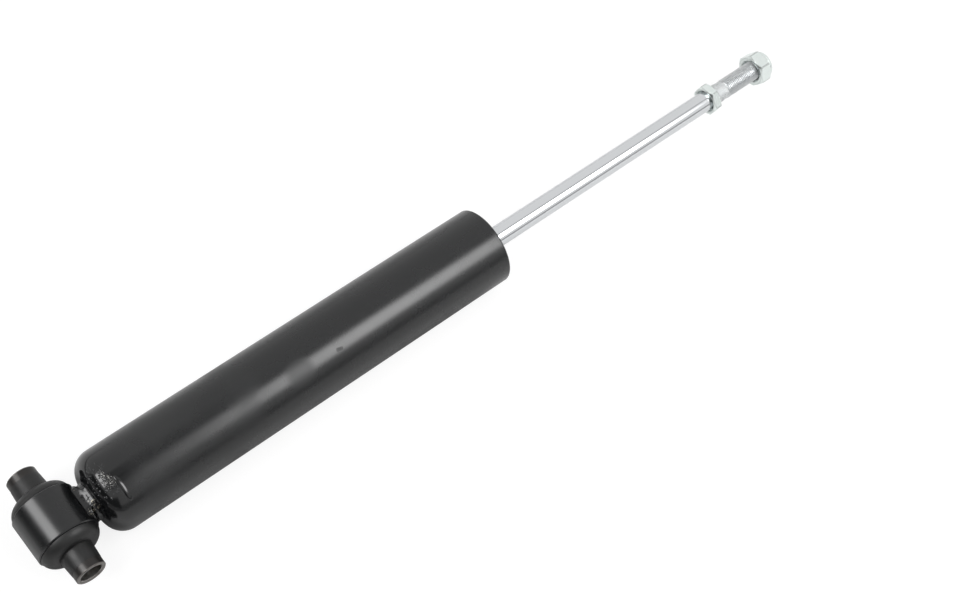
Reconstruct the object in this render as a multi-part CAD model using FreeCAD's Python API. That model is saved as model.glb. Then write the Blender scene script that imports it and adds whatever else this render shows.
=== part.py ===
import FreeCAD, Part
import math
import os

# A twin-tube gas shock absorber: an eye with a rubber bush at one end, a threaded stud at the other.
# Millimetres. The origin is the centre of the eye, +X runs along the shock absorber to the stud,
# +Y lies along the eye's sleeve. The rod is drawn fully out.

V = FreeCAD.Vector
ORIGIN = V(0, 0, 0)
X_AXIS = V(1, 0, 0)
Z_AXIS = V(0, 0, 1)

# Clearances
RUNNING_FIT = 0.04          # radial, between pieces that slide or turn on each other
SEAT_FIT = 0.02             # radial, between pieces that are pressed, bonded or screwed together
VALVE_FIT = 0.10            # radial, a loose plate on its guide
SIDE_PLAY = 0.10            # axial, a ring in its groove
STOP_GAP = 0.30             # axial, a bumper before its stop
EDGE_BREAK = 0.3            # chamfer on turned edges
CUT_PAST = 1.0              # how far a cutting shape runs past what it cuts

# Lower eye
EYE_OD = 34.0
EYE_WALL = 3.0
EYE_WIDTH = 25.0
EYE_EDGE = 0.6
SLEEVE_OD = 16.4
SLEEVE_BORE = 12.2          # takes an M12 bolt
SLEEVE_LENGTH = 64.0
SLEEVE_EDGE = 0.5
SLEEVE_BORE_EDGE = 0.7
BUSH_SHOULDER_LENGTH = 5.6  # how far the rubber bulges past each end of the ring
BUSH_SHOULDER_OD = 32.4
BUSH_NECK_WALL = 0.8        # rubber on the sleeve where the bulge ends
BUSH_SKIN_WALL = 0.12       # and where its skin runs out
BUSH_SKIN_LENGTH = 9.0
WELD_INSET = 2.0            # how far the neck's waist lies in from each end of the ring
WELD_FLARE = 1.2            # how much wider each side is at the ring and at the tube
WELD_RING_REACH = 9.4       # half height of the bead on the ring
WELD_TUBE_REACH = 10.6      # half height of the bead on the tube's end
WELD_HOLLOW = 0.8           # how far each bead's face is dished

# Outer tube
TUBE_OD = 46.0
TUBE_WALL = 1.5
TUBE_START = 20.3           # eye centre to the closed end
TUBE_LENGTH = 258.7
TUBE_FLOOR = 2.5
TUBE_CORNER = 11.5          # outside radius of the closed end's corner
TUBE_INNER_CORNER = 8.0
LIP_OPENING = 32.0          # bore of the edge that is rolled over the seal
LIP_EDGE = 1.1              # outside radius of the rolled edge

# Pressure tube
BORE = 30.0
PRESSURE_WALL = 1.2

# Base valve
FOOT_HEIGHT = 5.2
FOOT_OD = 27.0
FOOT_WALL = 3.2
FOOT_SLOT_WIDTH = 5.0       # one slot below each outer port
BASE_PLATE = 7.0
BASE_FLANGE = 3.0
BASE_SHIM_OD = 17.6
BOLT_DIAMETER = 6.0
BOLT_HEAD = 2.6
BOLT_HEAD_AF = 10.0
BASE_WASHER = 0.8
BASE_NUT = 2.6
BASE_NUT_AF = 10.0
BOLT_END = 0.8              # how much of the bolt stands out of its nut

# Valve passages, alike in the piston and in the base valve
PORT_COUNT = 6
OUTER_PORT = 3.0
OUTER_PORT_CIRCLE = 22.6
INNER_PORT = 2.2
INNER_PORT_CIRCLE = 14.0
SEAT_GROOVE = 0.8           # depth of the ring groove that joins each set of ports
GROOVE_MARGIN = 0.2         # how far that groove runs past the ports on each side
SEAT_LAND = 0.5             # width of the seat on each side of that groove
BOSS_HEIGHT = 2.4
BOSS_OD = 17.5
VALVE_PLATE = 1.0
SHIM = 0.3
SHIM_STEPS = (0.0, 1.0, 2.2)     # how much smaller each next shim's radius is
STAR_SPRING = 0.4
STAR_ARM = 2.2
STAR_ARMS = 3

# Rod guide, seal and end washer
GUIDE_FLANGE = 7.0
GUIDE_SPIGOT = 5.0
GUIDE_WELL = 2.6            # depth of the trough that catches the oil wiped off the rod
GUIDE_WELL_OD = 34.0
GUIDE_WELL_ID = 20.0
GUIDE_DRAIN = 2.4
GUIDE_DRAINS = 4
DRAIN_OFFSET = 0.5          # radial, each drain hole outside the pressure tube
BUSHING_WALL = 1.25
BUSHING_LENGTH = 9.0
SEAL_HEIGHT = 6.5
SEAL_HEEL = 2.6
SEAL_LIP_WALL = 2.0
SEAL_LIP_SETBACK = 0.4      # how far the lip's end stays behind the seal's own face
SEAL_LIP_RISE = 0.6         # how far the lip opens towards the oil
SEAL_LIP_SLOPE = 1.0        # length of the slope on each side of the lip's edge
SEAL_LIP_EDGE = 0.8
SEAL_RELIEF = 0.5           # radial, the seal clear of the rod between its two lips
SEAL_GROOVE_OD = 27.0
GARTER_WIRE = 1.2
SEAL_PLATE = 1.5
END_WASHER = 2.5
DUST_LIP_WALL = 1.1
DUST_LIP_TIP = 0.6          # thickness of the dust lip at its end
DUST_LIP_EDGE = 0.4
DUST_LIP_RISE = 1.2
O_RING = 1.9

# Rod, stops and piston
ROD_DIAMETER = 12.4
ROD_REACH = 178.4           # rolled edge to the lower nut, rod fully out
SPIGOT_DIAMETER = 8.0
BUMPER_HEIGHT = 5.0
BUMPER_OD = 22.0
BUMPER_EDGE = 0.5
BUMPER_NOSE = 1.2           # chamfer on the side that meets the guide
COLLAR_HEIGHT = 2.5
COLLAR_OD = 19.0
COLLAR_EDGE = 0.6
COLLAR_GROOVE = 0.5         # radial depth of the rod's groove that the collar is pressed into
COLLAR_GROOVE_WIDTH = 1.2
COLLAR_TO_SHOULDER = 2.0
PISTON_WASHER = 1.2
PISTON_WASHER_OD = 11.0
PISTON_HEIGHT = 10.0
PISTON_PLAY = 0.4           # radial, the piston's own metal in the bore
PISTON_EDGE = 0.5
BAND_WIDTH = 7.0
BAND_WALL = 1.4
REBOUND_SHIM_OD = 17.6
REBOUND_DISC = 1.6
REBOUND_DISC_OD = 15.4
REBOUND_SPRING_LENGTH = 7.0
REBOUND_SPRING_WIRE = 1.2   # the wire is flat: this high
REBOUND_SPRING_DEPTH = 1.8  # and this deep
REBOUND_SPRING_TURNS = 3.0
PISTON_NUT_AF = 15.0
PISTON_NUT_HEX = 5.0
PISTON_NUT_SLEEVE_OD = 10.6
REBOUND_LIFT = 0.9          # how far the rebound disc can leave its seat
SPIGOT_END = 1.0            # how much of the spigot stands out of its nut
SPIGOT_EDGE = 0.6

# Stud and nuts
STUD_DIAMETER = 12.0        # M12 x 1.25, drawn at its crests
THREAD_CORE = 11.2          # the same thread inside a nut, drawn at its pitch diameter
LOWER_NUT = 6.0
LOWER_NUT_AF = 17.0
LOWER_NUT_TURN = 107.0      # degrees, one corner's angle about the rod
SHOULDER_IN_NUT = 0.6       # how far the rod's full diameter reaches into the nut's countersink
STUD_PLAIN = 5.8
STUD_RELIEF = 4.0
STUD_RELIEF_DIAMETER = 11.4
MOUNTING_LENGTH = 25.0
TOP_NUT_HEX = 8.6
TOP_NUT_COLLAR = 3.4
TOP_NUT_AF = 19.0
TOP_NUT_TURN = 122.8
TOP_NUT_COLLAR_OD = 17.4
TOP_NUT_ROUND = 2.0         # outside radius of the collar's end
NUT_COUNTERSINK = 14.8
NUT_TOP_CHAMFER = 13.2
INSERT_HEIGHT = 2.0
INSERT_WALL = 1.9
INSERT_COVER = 0.7          # thickness of the collar's edge that is rolled over the insert
INSERT_OPENING = 0.4        # radial, that edge clear of the thread
STUD_TIP = 0.8              # how much of the stud stands out of the top nut
STUD_CHAMFER = 0.8
HEX_FACE = 0.95             # a hexagon's turned end face, as a share of its width across flats
HEX_CHAMFER = 30.0          # degrees

# Radii and places worked out from the sizes above
EYE_R = EYE_OD / 2
SLEEVE_R = SLEEVE_OD / 2
TUBE_R = TUBE_OD / 2
TUBE_INSIDE_R = TUBE_R - TUBE_WALL
BORE_R = BORE / 2
ROD_R = ROD_DIAMETER / 2
SPIGOT_R = SPIGOT_DIAMETER / 2
BOSS_R = BOSS_OD / 2
STUD_R = STUD_DIAMETER / 2
CORE_R = THREAD_CORE / 2

FLOOR_X = TUBE_START + TUBE_FLOOR
BASE_X = FLOOR_X + FOOT_HEIGHT
BASE_FLANGE_X = BASE_X + BASE_FLANGE
BASE_SEAT_X = BASE_X + BASE_PLATE

RIM_X = TUBE_START + TUBE_LENGTH
LIP_X = RIM_X - TUBE_WALL
END_WASHER_X = LIP_X - END_WASHER
SEAL_PLATE_X = END_WASHER_X - SEAL_PLATE
SEAL_X = SEAL_PLATE_X - SEAL_HEIGHT
GUIDE_SEAT_X = SEAL_X - GUIDE_FLANGE
GUIDE_X = GUIDE_SEAT_X - GUIDE_SPIGOT

BUMPER_X = GUIDE_X - STOP_GAP - BUMPER_HEIGHT
COLLAR_X = BUMPER_X - COLLAR_HEIGHT
SHOULDER_X = COLLAR_X - COLLAR_TO_SHOULDER
PISTON_TOP_X = SHOULDER_X - PISTON_WASHER - STAR_SPRING
PISTON_SEAT_X = PISTON_TOP_X - BOSS_HEIGHT
PISTON_X = PISTON_SEAT_X - PISTON_HEIGHT
SHIMS_X = PISTON_X - SHIM * len(SHIM_STEPS)
REBOUND_DISC_X = SHIMS_X - REBOUND_DISC
PISTON_NUT_TOP_X = REBOUND_DISC_X - REBOUND_SPRING_LENGTH
PISTON_NUT_X = PISTON_NUT_TOP_X - PISTON_NUT_HEX

LOWER_NUT_X = RIM_X + ROD_REACH
LOWER_NUT_TOP_X = LOWER_NUT_X + LOWER_NUT
RELIEF_X = LOWER_NUT_TOP_X + STUD_PLAIN
MOUNTING_X = RELIEF_X + STUD_RELIEF
TOP_NUT_X = MOUNTING_X + MOUNTING_LENGTH
TOP_NUT_END_X = TOP_NUT_X + TOP_NUT_HEX + TOP_NUT_COLLAR


def outline(start, steps):
    """Closed face in the x-r half plane. A step is (x, r) for a line, or a point on an arc and its end."""
    first = V(start[0], 0, start[1])
    here = first
    edges = []
    for step in steps:
        end = V(step[-2], 0, step[-1])
        if len(step) == 4:
            edges.append(Part.Arc(here, V(step[0], 0, step[1]), end).toShape())
        else:
            edges.append(Part.makeLine(here, end))
        here = end
    if here.distanceToPoint(first) > 1e-6:
        edges.append(Part.makeLine(here, first))
    return Part.Face(Part.Wire(edges))


def bend(x, r, radius, from_deg, to_deg):
    """An arc step of an outline about (x, r): its middle point, then its end point."""
    middle = math.radians((from_deg + to_deg) / 2)
    end = math.radians(to_deg)
    return (x + radius * math.cos(middle), r + radius * math.sin(middle),
            x + radius * math.cos(end), r + radius * math.sin(end))


def turned(start, *steps):
    """Solid of revolution about X."""
    return outline(start, steps).revolve(ORIGIN, X_AXIS, 360)


def tube(x, length, inner_r, outer_r):
    """Plain ring or washer about X."""
    end = x + length
    return turned((x, inner_r), (end, inner_r), (end, outer_r), (x, outer_r))


def rod(x, length, radius):
    """Plain cylinder about X."""
    return Part.makeCylinder(radius, length, V(x, 0, 0), X_AXIS)


def along_sleeve(shape):
    """A shape made about X, turned so that it lies about Y."""
    shape.rotate(ORIGIN, Z_AXIS, 90)
    return shape


def around(shape, count, phase=0.0):
    """Copies of a shape spaced evenly about X."""
    copies = []
    for i in range(count):
        copy = shape.copy()
        copy.rotate(ORIGIN, X_AXIS, phase + 360.0 * i / count)
        copies.append(copy)
    return copies


def drillings(x, length, diameter, circle, count, phase=0.0):
    """Cylinders along X on a pitch circle, to cut as holes."""
    hole = Part.makeCylinder(diameter / 2, length, V(x, 0, circle / 2), X_AXIS)
    return around(hole, count, phase)


def hexagon(x, length, across_flats, corner_deg):
    """Hexagonal prism about X with one corner at the given angle from +Y."""
    corner_r = across_flats / math.sqrt(3)
    angles = [math.radians(corner_deg + 60 * i) for i in range(7)]
    points = [V(x, corner_r * math.cos(a), corner_r * math.sin(a)) for a in angles]
    return Part.Face(Part.makePolygon(points)).extrude(V(length, 0, 0))


def chamfered_hexagon(x, length, across_flats, corner_deg, cut_start=True, cut_end=True):
    """Hexagonal prism whose corners are turned off at one end or both, as on a nut."""
    flat_r = across_flats / 2 * HEX_FACE
    corner_r = across_flats / math.sqrt(3) + EDGE_BREAK
    drop = (corner_r - flat_r) * math.tan(math.radians(HEX_CHAMFER))
    start_x = x if cut_start else x - CUT_PAST - drop
    end_x = x + length if cut_end else x + length + CUT_PAST + drop
    envelope = turned((start_x, 0), (start_x, flat_r), (start_x + drop, corner_r),
                      (end_x - drop, corner_r), (end_x, flat_r), (end_x, 0))
    return hexagon(x, length, across_flats, corner_deg).common(envelope)


def eye_ring():
    inner = EYE_R - EYE_WALL
    half = EYE_WIDTH / 2
    return along_sleeve(turned(
        (-half, inner), (half, inner), (half, EYE_R - EYE_EDGE), (half - EYE_EDGE, EYE_R),
        (EYE_EDGE - half, EYE_R), (-half, EYE_R - EYE_EDGE)))


def inner_sleeve():
    bore = SLEEVE_BORE / 2
    half = SLEEVE_LENGTH / 2
    return along_sleeve(turned(
        (SLEEVE_BORE_EDGE - half, bore), (half - SLEEVE_BORE_EDGE, bore),
        (half, bore + SLEEVE_BORE_EDGE), (half, SLEEVE_R - SLEEVE_EDGE),
        (half - SLEEVE_EDGE, SLEEVE_R), (SLEEVE_EDGE - half, SLEEVE_R),
        (-half, SLEEVE_R - SLEEVE_EDGE), (-half, bore + SLEEVE_BORE_EDGE)))


def rubber_bush():
    inner = SLEEVE_R + RUNNING_FIT
    in_ring = EYE_R - EYE_WALL - SEAT_FIT
    face = EYE_WIDTH / 2 + STOP_GAP
    bulge_end = face + BUSH_SHOULDER_LENGTH
    skin_end = bulge_end + BUSH_SKIN_LENGTH
    top = BUSH_SHOULDER_OD / 2
    neck = SLEEVE_R + BUSH_NECK_WALL
    skin = SLEEVE_R + BUSH_SKIN_WALL
    on_bulge = (face + BUSH_SHOULDER_LENGTH * math.sqrt(0.5), neck + (top - neck) * math.sqrt(0.5))
    return along_sleeve(turned(
        (-skin_end, inner), (skin_end, inner), (skin_end, skin), (bulge_end, neck),
        on_bulge + (face, top), (face, in_ring), (-face, in_ring), (-face, top),
        (-on_bulge[0], on_bulge[1], -bulge_end, neck), (-skin_end, skin)))


def eye_weld():
    """The welded neck between the ring and the tube's closed end, dished above, below and at its sides."""
    seat_r = EYE_R + SEAT_FIT
    ring_x = math.sqrt(seat_r ** 2 - WELD_RING_REACH ** 2)
    bead_x = (ring_x + TUBE_START) / 2
    bead_z = (WELD_RING_REACH + WELD_TUBE_REACH) / 2 - WELD_HOLLOW
    section = outline((ring_x, -WELD_RING_REACH), [
        (seat_r, 0, ring_x, WELD_RING_REACH), (bead_x, bead_z, TUBE_START, WELD_TUBE_REACH),
        (TUBE_START, -WELD_TUBE_REACH), (bead_x, -bead_z, ring_x, -WELD_RING_REACH)])
    section.translate(V(0, -EYE_WIDTH / 2, 0))
    waist = EYE_WIDTH / 2 - WELD_INSET
    flare = waist + WELD_FLARE
    sides = turned((0, 0), (0, flare), (seat_r, flare),
                   ((seat_r + TUBE_START) / 2, waist, TUBE_START, flare), (TUBE_START, 0))
    return section.extrude(V(0, EYE_WIDTH, 0)).common(sides)


def outer_tube():
    corner_x = TUBE_START + TUBE_CORNER
    inner_corner_x = FLOOR_X + TUBE_INNER_CORNER
    inner_corner_r = TUBE_INSIDE_R - TUBE_INNER_CORNER
    lip_r = LIP_OPENING / 2
    return turned(
        (TUBE_START, 0), (TUBE_START, TUBE_R - TUBE_CORNER),
        bend(corner_x, TUBE_R - TUBE_CORNER, TUBE_CORNER, 180, 90),
        (RIM_X - LIP_EDGE, TUBE_R), bend(RIM_X - LIP_EDGE, TUBE_R - LIP_EDGE, LIP_EDGE, 90, 0),
        (RIM_X, lip_r), (LIP_X, lip_r), (LIP_X, TUBE_INSIDE_R), (inner_corner_x, TUBE_INSIDE_R),
        bend(inner_corner_x, inner_corner_r, TUBE_INNER_CORNER, 90, 180), (FLOOR_X, 0))


def pressure_tube():
    return tube(BASE_FLANGE_X, GUIDE_SEAT_X - BASE_FLANGE_X, BORE_R, BORE_R + PRESSURE_WALL)


def valve_body(bottom_x, seat_x, side, hole_r):
    """Disc with two sets of ports, a ring groove over each set, and a boss that guides the plate."""
    outer = OUTER_PORT_CIRCLE / 2
    inner = INNER_PORT_CIRCLE / 2
    boss_x = seat_x + BOSS_HEIGHT
    top_inner = outer - OUTER_PORT / 2 - GROOVE_MARGIN
    top_outer = outer + OUTER_PORT / 2 + GROOVE_MARGIN
    low_inner = inner - INNER_PORT / 2 - GROOVE_MARGIN
    low_outer = inner + INNER_PORT / 2 + GROOVE_MARGIN
    body = turned(
        (bottom_x, hole_r), (bottom_x, low_inner), (bottom_x + SEAT_GROOVE, low_inner),
        (bottom_x + SEAT_GROOVE, low_outer), (bottom_x, low_outer), *side,
        (seat_x, top_outer), (seat_x - SEAT_GROOVE, top_outer), (seat_x - SEAT_GROOVE, top_inner),
        (seat_x, top_inner), (seat_x, BOSS_R), (boss_x, BOSS_R), (boss_x, hole_r))
    length = boss_x - bottom_x
    start = bottom_x - CUT_PAST
    length += 2 * CUT_PAST
    ports = drillings(start, length, OUTER_PORT, OUTER_PORT_CIRCLE, PORT_COUNT)
    ports += drillings(start, length, INNER_PORT, INNER_PORT_CIRCLE, PORT_COUNT)
    return body.cut(ports)


def star_spring(hub_x, plate_x, hole_r):
    """Flat hub with arms that reach down to the plate they press on."""
    hub_r = INNER_PORT_CIRCLE / 2 - INNER_PORT / 2
    root_r = (hole_r + hub_r) / 2
    tip_r = (OUTER_PORT_CIRCLE + OUTER_PORT) / 2
    knee_r = BOSS_R + VALVE_FIT
    hub = tube(hub_x, STAR_SPRING, hole_r, hub_r)
    half = STAR_ARM / 2
    points = [V(hub_x, -half, root_r), V(hub_x, -half, knee_r), V(plate_x, -half, tip_r),
              V(plate_x + STAR_SPRING, -half, tip_r), V(hub_x + STAR_SPRING, -half, knee_r),
              V(hub_x + STAR_SPRING, -half, root_r)]
    points.append(points[0])
    arm = Part.Face(Part.makePolygon(points)).extrude(V(0, STAR_ARM, 0))
    return hub.fuse(around(arm, STAR_ARMS, 180.0 / PORT_COUNT)).removeSplitter()


def valve_plate(seat_x):
    outer = (OUTER_PORT_CIRCLE + OUTER_PORT) / 2 + GROOVE_MARGIN + SEAT_LAND
    return tube(seat_x, VALVE_PLATE, BOSS_R + VALVE_FIT, outer)


def shim_stack(top_x, outer_d, hole_r):
    """Thin discs under a seat, each one smaller than the last."""
    discs = []
    for i, step in enumerate(SHIM_STEPS):
        discs.append(tube(top_x - SHIM * (i + 1), SHIM, hole_r, outer_d / 2 - step))
    return Part.makeCompound(discs)


def base_valve_body():
    """Plate with a flange that carries the pressure tube, standing on a slotted foot."""
    flange_r = BORE_R + PRESSURE_WALL
    spigot_r = BORE_R - SEAT_FIT
    foot_r = FOOT_OD / 2
    side = ((BASE_X, foot_r - FOOT_WALL), (FLOOR_X, foot_r - FOOT_WALL), (FLOOR_X, foot_r),
            (BASE_X, foot_r), (BASE_X, flange_r), (BASE_FLANGE_X, flange_r),
            (BASE_FLANGE_X, spigot_r), (BASE_SEAT_X, spigot_r))
    body = valve_body(BASE_X, BASE_SEAT_X, side, BOLT_DIAMETER / 2 + SEAT_FIT)
    slot = Part.makeBox(FOOT_HEIGHT + CUT_PAST, FOOT_SLOT_WIDTH, FOOT_OD,
                        V(FLOOR_X - CUT_PAST, -FOOT_SLOT_WIDTH / 2, 0))
    return body.cut(around(slot, PORT_COUNT))


def base_valve_bolt():
    head_x = BASE_SEAT_X + BOSS_HEIGHT + STAR_SPRING
    shank_x = BASE_X - SHIM * len(SHIM_STEPS) - BASE_WASHER - BASE_NUT - BOLT_END
    shank = rod(shank_x, head_x - shank_x, BOLT_DIAMETER / 2)
    head = chamfered_hexagon(head_x, BOLT_HEAD, BOLT_HEAD_AF, 0, cut_start=False)
    return shank.fuse(head)


def base_valve_washer():
    x = BASE_X - SHIM * len(SHIM_STEPS) - BASE_WASHER
    return tube(x, BASE_WASHER, BOLT_DIAMETER / 2 + SEAT_FIT, BASE_NUT_AF / 2)


def base_valve_nut():
    x = BASE_X - SHIM * len(SHIM_STEPS) - BASE_WASHER - BASE_NUT
    nut = chamfered_hexagon(x, BASE_NUT, BASE_NUT_AF, 0)
    return nut.cut(rod(x - CUT_PAST, BASE_NUT + 2 * CUT_PAST, BOLT_DIAMETER / 2 + SEAT_FIT))


def rod_guide():
    """Flanged guide: bushing seat, oil trough on top, drain holes, and a groove for the O-ring."""
    outer = TUBE_INSIDE_R - SEAT_FIT
    spigot = BORE_R - SEAT_FIT
    bushing = ROD_R + RUNNING_FIT + BUSHING_WALL + SEAT_FIT
    well_x = SEAL_X - GUIDE_WELL
    groove_x = (GUIDE_SEAT_X + SEAL_X - O_RING) / 2 - SIDE_PLAY
    groove_end = groove_x + O_RING + 2 * SIDE_PLAY
    groove_r = outer - O_RING + SEAT_FIT
    guide = turned(
        (GUIDE_X, bushing), (GUIDE_X, spigot), (GUIDE_SEAT_X, spigot), (GUIDE_SEAT_X, outer),
        (groove_x, outer), (groove_x, groove_r), (groove_end, groove_r), (groove_end, outer),
        (SEAL_X, outer), (SEAL_X, GUIDE_WELL_OD / 2), (well_x, GUIDE_WELL_OD / 2),
        (well_x, GUIDE_WELL_ID / 2), (SEAL_X, GUIDE_WELL_ID / 2), (SEAL_X, bushing))
    drain_circle = 2 * (BORE_R + PRESSURE_WALL + DRAIN_OFFSET) + GUIDE_DRAIN
    length = GUIDE_FLANGE + GUIDE_SPIGOT + 2 * CUT_PAST
    return guide.cut(drillings(GUIDE_X - CUT_PAST, length, GUIDE_DRAIN, drain_circle, GUIDE_DRAINS))


def guide_bushing():
    inner = ROD_R + RUNNING_FIT
    middle = (GUIDE_X + SEAL_X) / 2
    return tube(middle - BUSHING_LENGTH / 2, BUSHING_LENGTH, inner, inner + BUSHING_WALL)


def guide_o_ring():
    x = (GUIDE_SEAT_X + SEAL_X) / 2
    section = O_RING / 2 - SEAT_FIT
    return Part.makeTorus(TUBE_INSIDE_R - section - SEAT_FIT, section, V(x, 0, 0), X_AXIS)


def lip_radii():
    """The seal's radii: its lips on the rod, its bore between them, and the outside of the main lip."""
    lip = ROD_R + RUNNING_FIT
    return lip, lip + SEAL_RELIEF, lip + SEAL_LIP_WALL


def garter_x():
    """Where the ring spring lies along X, in its seat on the main lip."""
    return SEAL_X + SEAL_LIP_SETBACK + GARTER_WIRE


def rod_seal():
    """Rubber seal: outer heel on the tube, main lip towards the oil, dust lip out past the end washer."""
    outer = TUBE_INSIDE_R - SEAT_FIT
    lip, relief, lip_outer = lip_radii()
    groove_r = SEAL_GROOVE_OD / 2
    heel_x = SEAL_PLATE_X - SEAL_HEEL
    lip_x = SEAL_X + SEAL_LIP_SETBACK
    edge_x = lip_x + SEAL_LIP_SLOPE
    edge_end = edge_x + SEAL_LIP_EDGE
    dust_x = RIM_X + DUST_LIP_RISE
    dust_edge = dust_x - DUST_LIP_EDGE
    half = GARTER_WIRE / 2 + SEAT_FIT
    return turned(
        (lip_x, lip + SEAL_LIP_RISE), (edge_x, lip), (edge_end, lip),
        (edge_end + SEAL_LIP_SLOPE, relief), (dust_edge - SEAL_LIP_EDGE, relief), (dust_edge, lip),
        (dust_x, lip), (dust_x, lip + DUST_LIP_TIP), (SEAL_PLATE_X, relief + DUST_LIP_WALL),
        (SEAL_PLATE_X, outer), (SEAL_X, outer), (SEAL_X, groove_r), (heel_x, groove_r),
        (heel_x, lip_outer), (garter_x() + half, lip_outer),
        (garter_x(), lip_outer - half, garter_x() - half, lip_outer), (lip_x, lip_outer))


def garter_spring():
    """Ring spring that holds the main lip to the rod."""
    return Part.makeTorus(lip_radii()[2], GARTER_WIRE / 2, V(garter_x(), 0, 0), X_AXIS)


def seal_plate():
    inner = lip_radii()[1] + DUST_LIP_WALL + SEAT_FIT
    return tube(SEAL_PLATE_X, SEAL_PLATE, inner, TUBE_INSIDE_R - SEAT_FIT)


def end_washer():
    inner = lip_radii()[1] + DUST_LIP_WALL + SEAT_FIT
    return tube(END_WASHER_X, END_WASHER, inner, TUBE_INSIDE_R - SEAT_FIT)


def collar_groove():
    """Start and end along X of the rod's groove for the collar, and the radius of its floor."""
    start = COLLAR_X + (COLLAR_HEIGHT - COLLAR_GROOVE_WIDTH) / 2
    return start, start + COLLAR_GROOVE_WIDTH, ROD_R - COLLAR_GROOVE


def piston_rod():
    """Chromed rod with the piston spigot at one end and the threaded stud at the other."""
    shoulder = LOWER_NUT_X + SHOULDER_IN_NUT
    tip_x = TOP_NUT_END_X + STUD_TIP
    relief_r = STUD_RELIEF_DIAMETER / 2
    spigot_x = PISTON_NUT_X - SPIGOT_END
    groove, groove_end, groove_r = collar_groove()
    return turned(
        (spigot_x, 0), (spigot_x, SPIGOT_R - SPIGOT_EDGE), (spigot_x + SPIGOT_EDGE, SPIGOT_R),
        (SHOULDER_X, SPIGOT_R), (SHOULDER_X, ROD_R - EDGE_BREAK), (SHOULDER_X + EDGE_BREAK, ROD_R),
        (groove, ROD_R), (groove, groove_r), (groove_end, groove_r), (groove_end, ROD_R),
        (shoulder - EDGE_BREAK, ROD_R), (shoulder, ROD_R - EDGE_BREAK), (shoulder, CORE_R),
        (LOWER_NUT_TOP_X, CORE_R), (LOWER_NUT_TOP_X, STUD_R), (RELIEF_X, STUD_R),
        (RELIEF_X, relief_r), (MOUNTING_X, relief_r), (MOUNTING_X, STUD_R),
        (TOP_NUT_X, STUD_R), (TOP_NUT_X, CORE_R), (tip_x - STUD_CHAMFER, CORE_R),
        (tip_x, CORE_R - STUD_CHAMFER), (tip_x, 0))


def rebound_bumper():
    r = BUMPER_OD / 2
    inner = ROD_R + SEAT_FIT
    end = BUMPER_X + BUMPER_HEIGHT
    return turned((BUMPER_X, inner), (BUMPER_X, r - BUMPER_EDGE), (BUMPER_X + BUMPER_EDGE, r),
                  (end - BUMPER_NOSE, r), (end, r - BUMPER_NOSE), (end, inner))


def rebound_collar():
    """Collar that carries the bumper, pressed into the rod's groove."""
    r = COLLAR_OD / 2
    inner = ROD_R + SEAT_FIT
    groove, groove_end, groove_r = collar_groove()
    low = groove + SEAT_FIT
    high = groove_end - SEAT_FIT
    return turned((COLLAR_X, inner), (COLLAR_X, r - COLLAR_EDGE), (COLLAR_X + COLLAR_EDGE, r),
                  (BUMPER_X, r), (BUMPER_X, inner), (high, inner), (high, groove_r + SEAT_FIT),
                  (low, groove_r + SEAT_FIT), (low, inner))


def piston_washer():
    return tube(SHOULDER_X - PISTON_WASHER, PISTON_WASHER, SPIGOT_R + SEAT_FIT, PISTON_WASHER_OD / 2)


def piston():
    """Piston with a groove for its band; the valve body's ports and boss are the base valve's."""
    land = BORE_R - PISTON_PLAY
    groove = BORE_R - RUNNING_FIT - BAND_WALL - RUNNING_FIT
    middle = (PISTON_X + PISTON_SEAT_X) / 2
    low = middle - BAND_WIDTH / 2 - SIDE_PLAY
    high = middle + BAND_WIDTH / 2 + SIDE_PLAY
    side = ((PISTON_X, land - PISTON_EDGE), (PISTON_X + PISTON_EDGE, land), (low, land),
            (low, groove), (high, groove), (high, land), (PISTON_SEAT_X, land))
    return valve_body(PISTON_X, PISTON_SEAT_X, side, SPIGOT_R + SEAT_FIT)


def piston_band():
    outer = BORE_R - RUNNING_FIT
    middle = (PISTON_X + PISTON_SEAT_X) / 2
    return tube(middle - BAND_WIDTH / 2, BAND_WIDTH, outer - BAND_WALL, outer)


def rebound_disc():
    return tube(REBOUND_DISC_X, REBOUND_DISC, SPIGOT_R + VALVE_FIT, REBOUND_DISC_OD / 2)


def rebound_spring():
    """Coil spring of flat wire between the rebound disc and the piston nut."""
    outer = REBOUND_DISC_OD / 2
    inner = outer - REBOUND_SPRING_DEPTH
    rise = REBOUND_SPRING_LENGTH - REBOUND_SPRING_WIRE - 2 * SEAT_FIT
    helix = Part.makeHelix(rise / REBOUND_SPRING_TURNS, rise, (inner + outer) / 2)
    section = Part.makePolygon([V(inner, 0, 0), V(outer, 0, 0), V(outer, 0, REBOUND_SPRING_WIRE),
                                V(inner, 0, REBOUND_SPRING_WIRE), V(inner, 0, 0)])
    coil = Part.Wire(helix.Edges).makePipeShell([section], True, True)
    coil.rotate(ORIGIN, V(0, 1, 0), 90)
    coil.translate(V(PISTON_NUT_TOP_X + SEAT_FIT, 0, 0))
    return coil


def piston_nut():
    """Nut with a sleeve that guides the rebound spring."""
    sleeve_end = REBOUND_DISC_X - REBOUND_LIFT - SIDE_PLAY
    nut = chamfered_hexagon(PISTON_NUT_X, PISTON_NUT_HEX, PISTON_NUT_AF, 30, cut_end=False)
    sleeve = rod(PISTON_NUT_TOP_X, sleeve_end - PISTON_NUT_TOP_X, PISTON_NUT_SLEEVE_OD / 2)
    hole = rod(PISTON_NUT_X - CUT_PAST, sleeve_end - PISTON_NUT_X + 2 * CUT_PAST,
               SPIGOT_R + SEAT_FIT)
    return nut.fuse(sleeve).cut(hole)


def nut_bore(x, length, core_r):
    """What is cut from a nut: the thread's bore with a wide countersink below and a small one above."""
    wide = NUT_COUNTERSINK / 2
    small = NUT_TOP_CHAMFER / 2
    start = x - CUT_PAST
    top = x + length
    end = top + CUT_PAST
    return turned((start, 0), (start, wide), (x, wide), (x + wide - core_r, core_r),
                  (top - small + core_r, core_r), (top, small), (end, small), (end, 0))


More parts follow.
